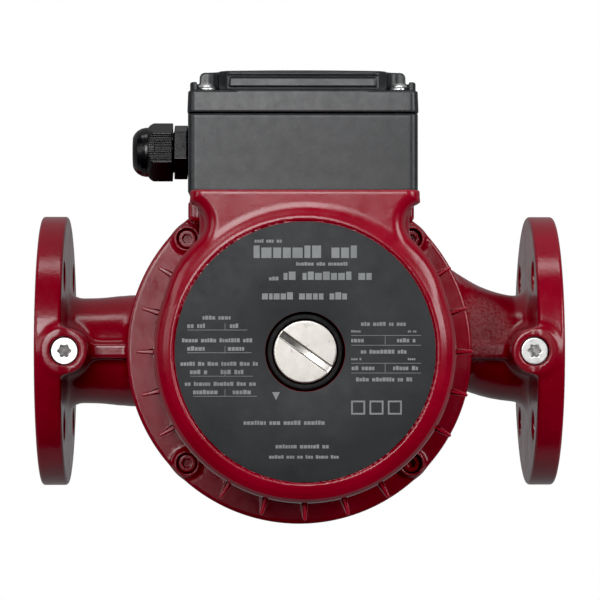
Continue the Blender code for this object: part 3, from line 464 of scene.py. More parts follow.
WORN_CENTRE, WORN_RADIUS = (85, -25, 10), 19.0      # where the pipe's paint is rough and thin
MOTOR_RED = red_paint("red_paint_motor", 1.6, 0.025)
BLACK, DARK_GREY = (0.014, 0.016, 0.018), (0.022, 0.024, 0.027)
LID_PLASTIC = moulded_plastic("lid_plastic", BLACK, DARK_GREY, 0.7, 0.008, 0.33)
PRINT = moulded_plastic("nameplate_ink", (0.24, 0.25, 0.255), (0.17, 0.18, 0.185), 0.6, 0.01, 0.45,
                        (0.34, 0.35, 0.35))
FINISH_OF_SLOT = {
    "red_paint_cast_iron": red_paint("red_paint_cast", 2.4, 0.07, bare_patch=True),
    "red_paint_aluminium": MOTOR_RED,
    "red_paint_steel": MOTOR_RED,
    "zinc_steel": metal("zinc_plating", (0.88, 0.88, 0.87), (0.76, 0.76, 0.75), 0.34, grain=0.7, depth=0.003),
    "stainless_steel": metal("stainless_steel", (0.66, 0.66, 0.65), (0.54, 0.54, 0.53), 0.28, 0.4, 0.004,
                             (0.6, (0, 2))),
    "bronze": metal("turned_bronze", (0.62, 0.40, 0.17), (0.50, 0.31, 0.13), 0.33, 0.4, 0.005, (0.5, (0, 2))),
    "laminated_steel": striped("laminations", (0.26, 0.27, 0.29), (0.34, 0.34, 0.35), 0.45, 0.9, 0.5, 1, 0.04),
    "rotor_aluminium": metal("cast_aluminium", (0.76, 0.76, 0.77), (0.62, 0.62, 0.64), 0.42, 1.2, 0.03),
    "winding_copper": striped("enamelled_copper", (0.62, 0.24, 0.10), (0.48, 0.17, 0.07), 0.30, 0.85, 0.9, 0, 0.15),
    "bearing_carbon": metal("carbon_graphite", (0.05, 0.05, 0.055), (0.035, 0.035, 0.04), 0.5, 0.6, 0.01),
    "vent_plug_metal": metal("satin_nickel", (0.57, 0.545, 0.51), (0.50, 0.48, 0.445), 0.36, 0.4, 0.003),
    "black_rubber": rubber("moulded_rubber"),
    "box_plastic": moulded_plastic("box_plastic", BLACK, DARK_GREY, 0.7, 0.008, 0.36),
    "gland_plastic": moulded_plastic("gland_plastic", (0.003, 0.003, 0.004), (0.006, 0.006, 0.007), 0.8, 0.008, 0.24,
                                     (0.05, 0.05, 0.052)),
    "white_plastic": moulded_plastic("white_plastic", (0.72, 0.71, 0.66), (0.66, 0.65, 0.60), 1.2, 0.02, 0.40,
                                     (0.80, 0.79, 0.75)),
    "nameplate_print": nameplate_film("nameplate_film"),
}

# ---- pump housing
INLET_LINE = [(-130, 0, 0), (-98, 0, 0), (-80, 3, 0), (-55, 13, 0), (-25, 18, 0), (4, 18, 0)]
OUTLET_LINE = [(8, -17, 51), (32, -16, 44), (52, -13, 29), (66, -9.5, 17), (78, -6, 9), (92, -2.4, 3.4),
               (106, -0.4, 0.9), (130, 0, 0)]
INLET_CASTING, INLET_PASSAGE = (25.5, 25.5, 27, 28, 27, 24), (20, 20, 20, 20, 19, 16)
OUTLET_CASTING = (15.5, 17, 20.5, 23, 24.3, 25.2, 25.6, 25.5)
OUTLET_PASSAGE = (9.5, 11.5, 14.8, 17.4, 18.8, 19.6, 20, 20)
AXIS = -40                       # a profile's points at this radius lie past the axis, which closes it
CASING = [(AXIS, 36.6), (80.2, 36.6), (80.2, 24.2), (78.6, 22.8), (73, 20), (58, -4), (46, -10), (36, -14),
          (34, -30), (28, -41), (16, -44.6), (AXIS, -45.4)]
SUCTION_BOWL = [(AXIS, 12), (27.6, 12), (27.6, 1), (22, -1), (26, -7), (28, -20), (26, -33), (16, -39), (AXIS, -40)]
CHAMBER = [(AXIS, 50), (64, 50), (64, 31.2), (59, 31.2), (59, 9), (AXIS, 9)]
SEAM_X = 97.2                    # grid plane where the flange pieces meet the housing's middle
MOTOR_BOLTS = [(sx * MOTOR_BOLT_OFFSET, sz * MOTOR_BOLT_OFFSET) for sx, sz in ((1, 1), (-1, 1), (-1, -1), (1, -1))]


def spiral(x, z, small, large):
    """Distance outside a spiral that grows clockwise from 35 degrees, seen from the motor."""
    turn = np.mod(35 - np.degrees(np.arctan2(z, x)), 360)
    share = np.clip(turn / 325, 0, 1) - np.clip((turn - 325) / 35, 0, 1)
    return np.hypot(x, z) - (small + (large - small) * share)


def pipes_field(x, y, z, inlet, outlet):
    """Both pipes' rods with these radii; near a flange only that side's last stretch is worked out."""
    if x.size and float(np.min(np.abs(x))) > 92:
        line, radii = (OUTLET_LINE[-4:], outlet[-4:]) if np.min(x) > 0 else (INLET_LINE[:4], inlet[:4])
        return path_field(x, y, z, *smooth_line(line, radii))
    return np.minimum(path_field(x, y, z, *smooth_line(INLET_LINE, inlet)),
                      path_field(x, y, z, *smooth_line(OUTLET_LINE, outlet)))


def housing_field(x, y, z):
    """The whole pump housing with its water passages and holes."""
    h, r, out = -y, np.hypot(x, z), np.abs(x)
    ends_only = float(np.min(out)) > 92
    body = np.maximum(pipes_field(x, y, z, INLET_CASTING, OUTLET_CASTING), out - 120)
    if not ends_only:
        middle = blend_min(outline_field(r, h, CASING), rounded(spiral(x, z, 64, 75.5), np.abs(h - 13) - 18, 5), 4)
        body = blend_min(body, middle, 7)
    across = np.hypot(y, z)
    flange = rounded(across - FLANGE_RADIUS, np.abs(out - (FLANGE_BACK + FLANGE_FACE) / 2)
                     - (FLANGE_FACE - FLANGE_BACK) / 2, 1.5)
    body = blend_min(body, flange, 8)
    boss_axis = np.hypot(out - TAPPING_X, z)
    body = blend_min(body, rounded(boss_axis - 10.6, np.abs(y + 42) - 22.8, 0.6), 4.5)
    body = blend_min(body, slab(out, y, z, (60, -34, -3.4), (112, -17, 3.4), 1.2), 3)
    body = np.maximum(body, out - FLANGE_FACE)
    body = blend_min(body, rounded(across - 41, np.abs(out - 118) - 7, 0.5), 0.6)
    body = blend_max(body, np.where(out < 92, h - 36.6, -50.0), 0.8)

    holes = np.hypot(np.abs(y) - BOLT_OFFSET, np.abs(z) - BOLT_OFFSET) - 7
    holes = np.maximum(holes, 95 - out)
    body = blend_max(body, -holes, 1.0)
    seat = np.maximum(boss_axis - TAPPING_SEAT_RADIUS, y + 52)
    port = np.maximum(boss_axis - 3, np.abs(y + 35) - 25)
    body = blend_max(body, -np.minimum(seat, port), 0.7)
    water = pipes_field(x, y, z, INLET_PASSAGE, OUTLET_PASSAGE)
    if not ends_only:
        water = np.minimum(water, np.minimum(outline_field(r, h, SUCTION_BOWL), outline_field(r, h, CHAMBER)))
        water = np.minimum(water, np.maximum(spiral(x, z, 60, 69.5), np.abs(h - 18.5) - 8.5))
        bolts = np.hypot(out - MOTOR_BOLT_OFFSET, np.abs(z) - MOTOR_BOLT_OFFSET) - 2.8
        water = np.minimum(water, np.maximum(bolts, 25.2 - h))
    return blend_max(body, -water, 0.8)


def build_pump_housing():
    step = 0.9 * COARSER
    ends = lattice(0, 29.0, 0.72 * COARSER) + SEAM_X
    middle = lattice(-SEAM_X, SEAM_X, 1.35 * COARSER)
    middle = np.concatenate([[-ends[1]], middle, [ends[1]]])
    for name, along, low, high in (("housing_casting", middle, -40, 83), ("inlet_flange_casting", -ends[::-1], -67, 67),
                                   ("outlet_flange_casting", ends, -67, 67)):
        axes = [along, lattice(low, min(high, 67), step), lattice(-high, high, step)]
        mesh = mesh_of(name, *surface_of(housing_field, axes, yields=0 if name == "housing_casting" else None))
        add(name, mesh, "pump", "red_paint_cast_iron", ["pump_housing"])


def lobed_plug(x, y, z):
    """A tapping plug about its own axis, with a six-lobed socket."""
    r = np.hypot(x, z)
    body = disc(r, -y, 6.4, 52.6, 63.9, 0.5)
    lobes = 2.75 + 0.36 * np.cos(6 * np.arctan2(z, x))
    socket = np.maximum(r - lobes, 59.0 + 0.6 * r + y)
    return blend_max(body, -socket, 0.3)


def build_tapping_plugs():
    mesh = field_mesh("tapping_plug", lobed_plug, (-7, -64.6, -7), (7, -52, 7), 0.2)
    for side, name, own in zip((-1, 1), ("inlet", "outlet"), copies(mesh, 2)):
        plug = add(f"{name}_pressure_plug", own, "pump", "zinc_steel", [f"{name}_tapping_plug"])
        plug.location.x = side * TAPPING_X * MM


# ---- motor housing
FINS = [d for d in range(0, 360, 15) if not (30 < d < 150 or d in (225, 315))]
FIN_END = 203.0
FOOT = [(r * math.cos(math.radians(d)), r * math.sin(math.radians(d)))
        for d, r in ((16, 61.0), (20, 61.9), (24, 63.0), (28, 63.9), (32, 64.4), (37, 64.6), (42, 64.6), (46, 64.6))]
NECK_FLANK = FOOT + arc((50.5, 53.5), 9, 225, 106, 16) + [(47.8, 64.5), (47.8, 84)]
NECK_OUTLINE = [(0, 12)] + NECK_FLANK + [(-u, v) for u, v in reversed(NECK_FLANK)]
CAP = [(AXIS, MOTOR_FRONT - 1.1), (54.6, MOTOR_FRONT - 1.1), (54.6, MOTOR_FRONT), (56.0, MOTOR_FRONT),
       (58.6, 213.9), (61.2, 212.2), (62.7, 209.6), (63.2, 206.6), (62.9, 205.0), (61.8, 204.2), (61.3, 203),
       (61.3, 188), (54.5, 188), (54.5, 193), (30, 197), (AXIS, 197)]
NECK_SEAM = 187.2                # grid plane where the neck's two pieces meet


def neck_field(x, y, z):
    h = -y
    flank = outline_field(x, z, NECK_OUTLINE)
    front = np.maximum(rounded(flank, np.abs(h - 196.7) - 16.7, 5.6), 200 - h)
    front = np.minimum(front, rounded(flank, np.abs(h - 199.7) - 10.3, 1.0))
    block = slab(x, y, z, (-50.9, -108, 58.4), (50.9, -55, 90), 2.0)
    bridge = slab(x, y, z, (-44, -200, 30), (44, -56, 90), 2.5)
    neck = blend_min(blend_min(block, bridge, 3), front, 3)
    return np.maximum(blend_max(neck, z - 67.3, 1.2), 41 - z - 200 * (h > 185))


def motor_field(x, y, z):
    """The motor's front cap and neck, which carries the terminal box."""
    h, r = -y, np.hypot(x, z)
    body = np.maximum(neck_field(x, y, z), 55.5 - r)
    if np.max(h) > 180:
        body = blend_min(outline_field(r, h, CAP), body, 1.6)
        body = np.maximum(body, np.where(r < 54.6, h - MOTOR_FRONT + 1.1, -50.0))
        hole = np.minimum(np.maximum(r - PLUG_HOLE, PLUG_SEAT - h), np.maximum(r - 10.8, 190 - h))
        body = blend_max(body, -hole, 0.7)
    cavity = slab(x, y, z, (-34, -140, 20), (34, -70, 90), 3)
    threads = np.maximum(np.hypot(np.abs(x) - BOX_SCREW_X, h - BOX_MIDDLE) - 2.3, 56 - z)
    return blend_max(body, -np.minimum(cavity, threads), 0.8)


def ring_field(x, y, z):
    h, r = -y, np.hypot(x, z)
    body = disc(r, h, RING_RADIUS, RING_BACK, RING_FRONT, 1.3)
    body = blend_min(body, disc(r, h, DRUM_RADIUS - 0.4, RING_BACK, 56, 1), 5)
    corner = np.hypot(np.abs(x) - MOTOR_BOLT_OFFSET, np.abs(z) - MOTOR_BOLT_OFFSET)
    body = blend_min(body, disc(corner, h, 6.2, 40, 50.5, 1.0), 2.5)
    body = np.maximum(body, 54.5 - r)
    bore = np.minimum(np.maximum(corner - 4.8, 43.4 - h), corner - 2.9)
    return np.maximum(blend_max(body, -bore, 0.9), h - 51.4)


def fin_outline(inset, plain=False):
    """The drum's outline with its fins, or the same number of points on the plain drum."""
    heights = np.array([DRUM_RADIUS, 61.9, 62.3, 62.8, 63.4, 65, 67.4, FIN_TIP - 0.75])
    root = 1.8 - np.sqrt(np.maximum(1.8 ** 2 - np.maximum(63.4 - heights, 0) ** 2, 0))
    halves = 1.45 - (heights - DRUM_RADIUS) / (FIN_TIP - DRUM_RADIUS) * 0.7 + root
    flank = [(r, max(t - inset, 0.02)) for r, t in zip(heights, halves)]
    tip = [(FIN_TIP - 0.75 + (0.75 - inset) * math.sin(a), (0.75 - inset) * math.cos(a))
           for a in np.radians((22, 45, 68, 90))]
    half = flank + tip
    fin = [(r, -t) for r, t in half] + [(r, t) for r, t in reversed(half[:-1])]
    points = []
    for degrees in range(0, 360, 15):
        centre = math.radians(degrees)
        edge = flank[0][1] / DRUM_RADIUS
        gaps = np.linspace(-math.radians(7.5), -edge, 6)[:-1]
        shares = np.linspace(-1, 1, len(fin))
        row = [(DRUM_RADIUS, a) for a in gaps]
        for (r, t), share in zip(fin, shares):
            bare = plain or degrees not in FINS
            row.append((DRUM_RADIUS, share * edge) if bare else (r, t / r))
        row += [(DRUM_RADIUS, -a) for a in gaps[::-1][:-1]]
        points += [(r * math.cos(centre + a), r * math.sin(centre + a)) for r, a in row]
    return points


def build_motor_housing():
    mesh = field_mesh("motor_ring", ring_field, (-82.5, -52.5, -82.5), (82.5, -37, 82.5), 0.8 * COARSER)
    add("motor_ring", mesh, "pump", "red_paint_aluminium", ["motor_housing"])

    levels = [46, 50, *np.linspace(60, 196, 12), FIN_END - 0.7]
    rings = [[motor_axis(u, v, h) for u, v in fin_outline(0)] for h in levels]
    for a in np.radians((25, 50, 75, 90)):
        inset, height = 0.6 * (1 - math.cos(a)), FIN_END - 0.7 + 0.7 * math.sin(a)
        rings.append([motor_axis(u, v, height) for u, v in fin_outline(inset)])
    plain = fin_outline(0, plain=True)
    for radius, height in ((DRUM_RADIUS, FIN_END), (DRUM_RADIUS, FIN_END + 0.5), (60.5, FIN_END + 0.5),
                           (60.5, 189.5), (54.5, 189.5), (54.5, 120), (54.5, 46)):
        rings.append([motor_axis(u * radius / DRUM_RADIUS, v * radius / DRUM_RADIUS, height) for u, v in plain])
    add("motor_fins", skin("motor_fins", rings, loop=True), "pump", "red_paint_aluminium", ["motor_housing"])

    step = 0.72 * COARSER
    front = -lattice(NECK_SEAM, 216, step)[::-1]
    rear = -(NECK_SEAM - lattice(0, 134, 1.44 * COARSER))
    for name, along, half, low in (("motor_front", front, 66, -65), ("motor_neck", np.append(front[-2], rear), 52, 28)):
        axes = [lattice(-half, half, step), along, lattice(low, 68.5, step)]
        mesh = mesh_of(name, *surface_of(motor_field, axes, yields=1 if name == "motor_neck" else None))
        add(name, mesh, "pump", "red_paint_aluminium", ["motor_housing"])


def socket_screw(x, y, z):
    """A motor bolt about its own axis: a round head with a hexagon socket."""
    h, r = -y, np.hypot(x, z)
    body = disc(r, h, 4.2, 43.7, 48.4, 0.6)
    body = np.minimum(body, disc(r, h, 2.5 + 0.12 * np.sin(math.tau * h / 0.9) * (h < 42), 26, 45, 0.4))
    turns = np.arctan2(z, x)
    sector = np.mod(turns, math.tau / 6) - math.tau / 12
    socket = np.maximum(r * np.cos(sector) - 1.95, 45.9 - h)
    return blend_max(body, -socket, 0.25)


def build_motor_bolts():
    mesh = field_mesh("motor_bolt", socket_screw, (-4.8, -49, -4.8), (4.8, -25.4, 4.8), 0.25)
    for i, ((u, v), own) in enumerate(zip(MOTOR_BOLTS, copies(mesh, 4)), 1):
        bolt = add(f"housing_bolt_{i}", own, "pump", "red_paint_steel", [f"motor_bolt_{i}"])
        bolt.location = (u * MM, 0, v * MM)


# ---- vent plug
def vent_plug_field(x, y, z):
    h, r = -y, np.hypot(x, z)
    body = disc(r, h, 13.2, 204.5, 213.6, 0.7)
    turn = np.arctan2(z, x) / math.tau
    thread = 0.35 * np.abs(np.mod(h / 1.4 - turn, 1) - 0.5) * 2
    body = np.minimum(body, disc(r, h, 10.4 - thread, 197.3, 206, 0.4))
    angle = math.radians(-36)
    across = np.abs(z * math.cos(angle) - x * math.sin(angle))
    along = x * math.cos(angle) + z * math.sin(angle)
    slot = np.maximum(across - 1.45, 210.9 + along ** 2 / 60 - h)
    return blend_max(body, -slot, 0.45)


def build_vent_plug():
    mesh = field_mesh("vent_screw", vent_plug_field, (-14, -214.2, -14), (14, -196.8, 14), 0.26)
    add("vent_screw", mesh, "vent_plug", "vent_plug_metal", ["vent_plug"])
    profile = [(15.3, 212.7), (16.2, 212.0), (16.2, 201.4), (10.95, 201.4), (10.95, 204.0), (13.5, 204.0),
               (13.5, 212.7)]
    rounded_seal = round_corners(profile, [0.7, 0.8, 0.4, 0.3, 0.3, 0.2, 0.6])
    add("vent_seal", turned("vent_seal", rounded_seal, steps=128), "vent_plug_seal", "black_rubber",
        ["vent_plug_seal"])


# ---- terminal box
GLAND_H, GLAND_Z = BOX_MIDDLE, 89.5
BOX_BOTTOM, BOX_TOP, LID_BOTTOM, LID_INSIDE, LID_LEDGE, LID_TOP = 68.9, 103.2, 103.5, 104.4, 113.2, 122.2
SCREW_X, SCREW_H = 42.0, 45.0     # lid screws, from the box's middle


def plan(x, y, half_x, half_y, corner):
    """Distance outside a rectangle with round corners, centred on the box."""
    dx, dy = np.abs(x) - half_x + corner, np.abs(y + BOX_MIDDLE) - half_y + corner
    return np.hypot(np.maximum(dx, 0), np.maximum(dy, 0)) + np.minimum(np.maximum(dx, dy), 0) - corner


def screw_places(x, y):
    return np.hypot(np.abs(x) - SCREW_X, np.abs(y + BOX_MIDDLE) - SCREW_H)


def box_field(x, y, z):
    body = rounded(plan(x, y, 49.9, 53, 3.4), np.abs(z - (BOX_BOTTOM + BOX_TOP) / 2) - (BOX_TOP - BOX_BOTTOM) / 2, 0.5)
    inside = rounded(plan(x, y, 46.5, 50, 2.5), np.maximum(71.9 - z, z - 130), 1.5)
    body = blend_max(body, -inside, 0.8)
    post = np.maximum(screw_places(x, y) - 5.4, np.maximum(70 - z, z - BOX_TOP))
    body = blend_min(body, post, 1.2)
    body = np.maximum(body, z - BOX_TOP)
    screws = np.hypot(np.abs(x) - BOX_SCREW_X, y + BOX_MIDDLE) - 2.35
    wires = np.hypot(x, y + BOX_MIDDLE) - 9
    gland = np.maximum(np.hypot(y + GLAND_H, z - GLAND_Z) - 10.3, x + 40)
    holes = np.minimum(np.minimum(screws, wires), gland)
    return blend_max(blend_max(body, -holes, 0.5), -np.maximum(screw_places(x, y) - 2.2, 86 - z), 0.5)


def lid_field(x, y, z):
    u, v = np.abs(x), np.abs(y + BOX_MIDDLE)
    draft = 0.04 * (z - 103.5)
    skirt = rounded(plan(x, y, 50.2, 53.5, 3.8) + draft, np.abs(z - 108.3) - 4.8, 0.5)
    shoulder = rounded(plan(x, y, 48.8, 52.1, 4), np.abs(z - 109) - 4.9, 1.0)
    side_rim = rounded(plan(x, y, 49.0, 51.0, 3), np.abs(z - 110) - 6.9, 0.8)
    side_rim = blend_max(side_rim, np.minimum(45.9 - u, v - 39.6), 0.8)
    crown = LID_TOP - 0.25 * np.minimum(u / 32, 1) ** 2
    raised = rounded(plan(x, y, 45.4, 50.6, 3) + 0.5 * draft, np.abs(z - 110) - (crown - 110), 2.4)
    body = blend_min(blend_min(skirt, shoulder, 0.6), raised, 0.8)
    slant = np.maximum(39.6 - v, (82.2 - u - v) * math.sqrt(0.5))
    pocket = np.maximum(np.minimum(slant, screw_places(x, y) - 5.4), LID_LEDGE - z)
    body = blend_max(body, -pocket, 1.0)
    body = blend_min(body, side_rim, 0.5)
    body = blend_max(body, -np.maximum(screw_places(x, y) - 5.2, LID_LEDGE - z), 0.5)
    panel = np.maximum(u - 32.2, np.abs(z - 117.0) - 2.6)
    groove = np.maximum(np.abs(panel) - 0.45, np.abs(v - 50.6) - 1.5)
    body = blend_max(body, -groove, 0.3)
    body = blend_max(body, -np.maximum(panel, 49.9 + 0.08 * (117 - z) - v), 0.3)
    hollow = np.minimum(np.maximum(u - 46, v - 36.2), np.maximum(u - 31.0, v - 46.6))
    body = blend_max(body, -np.maximum(hollow, z - 113.9 + 2.4 * (u > 31.0)), 1.0)
    body = np.maximum(body, LID_BOTTOM - z)
    body = np.maximum(body, -np.maximum(plan(x, y, 48.6, 52.1, 4), z - LID_INSIDE))
    holes = screw_places(x, y) - 2.3
    return blend_max(body, -holes, 0.5)


def cross_screw(head_radius, head_height, shank_radius, reach):
    """A domed cross-recessed screw about its own Z, its head standing on 0."""
    def field(x, y, z):
        r = np.hypot(x, y)
        ball = (head_radius ** 2 + head_height ** 2) / (2 * head_height)
        dome = np.sqrt(r ** 2 + (z - head_height + ball) ** 2) - ball
        head = np.maximum(blend_max(dome, r - head_radius + 0.25, 0.6), -z)
        turn = np.arctan2(y, x) / math.tau
        thread = 0.3 * np.abs(np.mod(z / 1.3 - turn, 1) - 0.5) * 2 * (z < -4)
        body = np.minimum(head, disc(r, z, shank_radius - thread, -reach, 1, 0.3))
        depth = z - head_height + 1.5
        arms = np.minimum(np.maximum(np.abs(x) - 0.42, np.abs(y) - 2.1), np.maximum(np.abs(y) - 0.42, np.abs(x) - 2.1))
        return blend_max(body, -np.maximum(arms, -depth), 0.3)
    return field


def build_terminal_box():
    mesh = field_mesh("box_body", box_field, (-50.5, -161, 68), (50.5, -53, 104), 0.8 * COARSER)
    add("box_body", mesh, "pump", "box_plastic", ["terminal_box"])
    mesh = field_mesh("box_lid", lid_field, (-51, -161.5, 102.6), (51, -52.5, 123), 0.62 * COARSER)
    add("box_lid", mesh, "terminal_lid", "box_plastic", ["terminal_lid"], LID_PLASTIC)

    mesh = field_mesh("lid_screw", cross_screw(4.5, 3.4, 1.8, 21.3), (-5, -5, -22), (5, 5, 4), 0.24)
    places = ((-1, -1, 20), (1, -1, 55), (-1, 1, 70), (1, 1, 8))     # two sides, and the recess's turn in degrees
    for i, ((u, v, turned_by), own) in enumerate(zip(places, copies(mesh, 4)), 1):
        screw = add(f"cover_screw_{i}", own, "terminal_lid", "zinc_steel", [f"lid_screw_{i}"])
        head = Vector((u * SCREW_X, v * SCREW_H - BOX_MIDDLE, LID_LEDGE + 0.3)) * MM
        screw.matrix_world = Matrix.Translation(head) @ Matrix.Rotation(math.radians(turned_by), 4, "Z")
    mesh = field_mesh("box_screw", cross_screw(4.0, 2.4, 1.9, 12.1), (-4.5, -4.5, -13), (4.5, 4.5, 3), 0.24)
    for i, (side, own) in enumerate(zip((-1, 1), copies(mesh, 2)), 1):
        screw = add(f"box_screw_{i}", own, "pump", "zinc_steel", [f"terminal_box_screw_{i}"])
        screw.location = Vector((side * BOX_SCREW_X, -BOX_MIDDLE, 72.2)) * MM


# ---- cable gland
def hexagon(u, v, radius, turned_by=0.0):
    """Distance outside a hexagon, its facet's own coordinate, and whether that facet faces front or back."""
    turns = np.arctan2(v, u) - math.radians(turned_by)
    sector = np.mod(turns + math.tau / 12, math.tau / 6) - math.tau / 12
    r = np.hypot(u, v)
    return r * np.cos(sector) - radius * math.cos(math.tau / 12), r * np.sin(sector), np.abs(np.cos(turns)) > 0.866


def gland_nut_field(x, y, z):
    out, u, v = -x, y + GLAND_H, z - GLAND_Z
    r = np.hypot(u, v)
    side, across, ribbed = hexagon(u, v, 13.2, -7)
    ribs = 0.45 * np.abs(np.sin(math.pi * across / 1.03)) * ribbed * (np.abs(across) < 6.18)
    nut = rounded(side - 0.15 + ribs, np.abs(out - 63.15) - 5.45, 0.35)
    nut = blend_max(nut, (r + 0.9 * (out - 68.6) - 11.6) / 1.35, 0.5)
    dome = outline_field(r, out, [(AXIS, 66), (11.1, 66), (11.1, 69.8), (10.7, 71.8), (9.7, 73.6), (8.3, 74.9),
                                  (6.8, 75.7), (AXIS, 75.9)])
    body = blend_min(nut, dome, 0.5)
    inside = outline_field(r, out, [(AXIS, 90), (5.6, 90), (5.6, 73.6), (8.1, 69.4), (8.1, 65), (9.5, 63), (9.5, 50),
                                    (AXIS, 50)])
    return blend_max(body, -inside, 0.6)


def gland_body_field(x, y, z):
    out, u, v = -x, y + GLAND_H, z - GLAND_Z
    r, turn = np.hypot(u, v), np.arctan2(v, u) / math.tau
    side = hexagon(u, v, 12.7, -13.5)[0]
    body = rounded(side, np.abs(out - 54.05) - 2.95, 0.35)
    thread = 0.4 * np.abs(np.mod(out / 1.5 - turn, 1) - 0.5) * 2
    body = np.minimum(body, disc(r, out, 9.9 - thread, 40.1, 52, 0.4))
    body = np.minimum(body, disc(r, out, 9.15 - 0.5 * thread, 53, 61.9, 0.4))
    bore = np.minimum(r - 6, np.maximum(r - 8, 59.5 - out))
    return blend_max(body, -bore, 0.4)


def locknut_field(x, y, z):
    out, u, v = -x, y + GLAND_H, z - GLAND_Z
    side = hexagon(v, u, 13.9)[0]
    body = rounded(side, np.abs(out - 44.1) - 2.05, 0.5)
    return blend_max(body, 10.35 - np.hypot(u, v), 0.5)


def build_gland():
    low_y, high_y, low_z, high_z = -GLAND_H - 14.4, -GLAND_H + 14.4, GLAND_Z - 14.4, GLAND_Z + 14.4
    for name, field, start, end, step, body, node in (
            ("gland_cap", gland_nut_field, 57, 76.6, 0.2 * COARSER, "gland_nut", "gland_nut"),
            ("gland_base", gland_body_field, 39.4, 62.6, 0.3 * COARSER, "pump", "gland_body"),
            ("gland_back_nut", locknut_field, 41.5, 46.8, 0.4, "pump", "gland_locknut")):
        mesh = field_mesh(name, field, (-end, low_y, low_z), (-start, high_y, high_z), step)
        add(name, mesh, body, "gland_plastic", [node])
    washer = round_corners([(10.3, 49.8), (12.3, 49.8), (12.3, 50.8), (10.3, 50.8)], [0.2, 0.4, 0.4, 0.2])
    add("gland_seal", turned("gland_seal", washer, gland_axis), "pump", "black_rubber", ["gland_washer"])
    insert = round_corners([(7.7, 67.4), (7.7, 59.9), (5.2, 59.9), (5.2, 70), (6.1, 70)], [0.5, 0.4, 0.3, 0.3, 0.2])
    add("gland_rubber", turned("gland_rubber", insert, gland_axis), "gland_insert", "black_rubber", ["gland_insert"])


# ---- nameplate
PLATE_H, INK_DEPTH, INK_RISE = 214.7, 0.02, 0.05


def build_nameplate():
    profile = round_corners([(16.6, 214.15), (54.0, 214.15), (54.0, 214.7), (16.6, 214.7)], [0.1, 0.15, 0.15, 0.1], 3)
    add("type_plate", turned("type_plate", profile, steps=160), "pump", "nameplate_print", ["nameplate"])

    random.seed(7)
    bm = bmesh.new()

    def ink(*corners):
        """A thin prism of ink on these corners; u and v in mm from the motor's axis."""
        low, high = ([bm.verts.new([c * MM for c in motor_axis(u, v, height)]) for u, v in corners]
                     for height in (PLATE_H - INK_DEPTH, PLATE_H + INK_RISE))
        bm.faces.new(low)
        bm.faces.new(high[::-1])
        for i, start in enumerate(low):
            j = (i + 1) % len(low)
            bm.faces.new((start, high[i], high[j], low[j]))

    def mark(u0, u1, v0, v1):
        ink((u0, v0), (u1, v0), (u1, v1), (u0, v1))

    def words(u0, u1, v, height, gap=0.32):
        """A greeked line: runs of small blocks with spaces between them, from u0 to u1, centred on v."""
        u = u0
        while u < u1 - 0.5 * height:
            for _ in range(random.randint(2, 7)):
                width = height * random.choice((0.42, 0.55, 0.62, 0.7))
                if u + width > u1:
                    break
                tall = height * random.choice((0.36, 0.36, 0.5))
                mark(u, u + width, v - 0.36 * height, v + tall)
                u += width + gap
            u += 0.6 * height

    for line in ((-21.0, -8.4, 45.8, 1.7, 0.2), (-21.4, 21.4, 41.0, 6.0, 0.7), (-3.8, 18.6, 36.3, 1.7, 0.2),
                 (-15.0, -11.0, 30.2, 1.8, 0.2), (-9.0, 32.5, 31.2, 4.0, 0.5), (-17.9, 17.7, 22.9, 3.5, 0.45)):
        words(*line)
    for title, left, right, v in (((-42.5, -29.6), (-48.8, -39.0), (-31.2, -25.5), 14.0),
                                  ((-51.0, -20.8), (-48.8, -40.6), (-32.0, -23.7), 4.6),
                                  ((-51.6, -19.3), (-47.7, -40.5), (-35.0, -23.2), -5.1),
                                  ((-49.8, -18.3), (-46.4, -35.3), (-30.0, -21.5), -13.4)):
        words(*title, v, 1.9, 0.24)
        words(*left, v - 3.4, 2.1, 0.26)
        words(*right, v - 3.4, 2.1, 0.26)
        mark(left[0], right[1] + 1.5, v - 5.1, v - 4.9)
        mark(-33.3, -33.1, v - 4.9, v - 2.2)
    for title, left, right, v in (((23.1, 41.8), (19.0, 24.4), (38.0, 46.0), 11.4),
                                  ((23.0, 43.4), (19.2, 31.0), (36.4, 47.0), -0.1)):
        words(*title, v, 1.9, 0.24)
        words(19.0, 23.5, v - 3.0, 1.1, 0.15)
        words(42.5, 46.5, v - 3.0, 1.1, 0.15)
        words(*left, v - 6.8, 2.0, 0.26)
        words(*right, v - 6.8, 2.0, 0.26)
        mark(19.0, 48.0, v - 4.75, v - 4.55)
        mark(19.0, 48.0, v - 8.8, v - 8.6)
        mark(33.0, 33.2, v - 8.4, v - 4.75)
    for line in ((21.0, 45.0, -11.6, 1.9, 0.24), (-25.5, 10.0, -29.5, 2.0, 0.26), (-12.3, 10.3, -39.3, 1.9, 0.24),
                 (-15.0, 14.4, -43.6, 1.6, 0.2)):
        words(*line)
    for u in (19.0, 26.6, 34.2):
        for low, high in ((0, 0.7), (5.1, 5.8)):
            mark(u, u + 5.8, -26.0 + low, -26.0 + high)
            mark(u + low, u + high, -25.3, -20.9)
    ink((-13.7, -16.7), (-10.5, -16.7), (-12.1, -20.0))
    bmesh.ops.recalc_face_normals(bm, faces=bm.faces)
    mesh = bpy.data.meshes.new("plate_print")
    bm.to_mesh(mesh)
    bm.free()
    add("plate_print", mesh, "pump", "nameplate_print", material=PRINT)


# ---- the CAD pieces that stay
def finish_inner_nodes():
    """Every CAD node that no piece stands for keeps its shape and gets its slot's material."""
    slots = {row["node"]: row["material_slot"] for row in frame["record"]["subparts"]}
    for name, obj in frame["nodes"].items():
        if obj.hide_render:
            continue
        finish = FINISH_OF_SLOT[slots[name]]
        if not obj.material_slots:
            obj.data.materials.append(finish)
        for slot in obj.material_slots:
            slot.material = finish


# ---- stage, light and camera
def flat_material(name, colour, roughness):
    s = Shader(name, roughness)
    return s.done(s.mix(s.noise(400, 2), colour, tuple(0.985 * c for c in colour)))


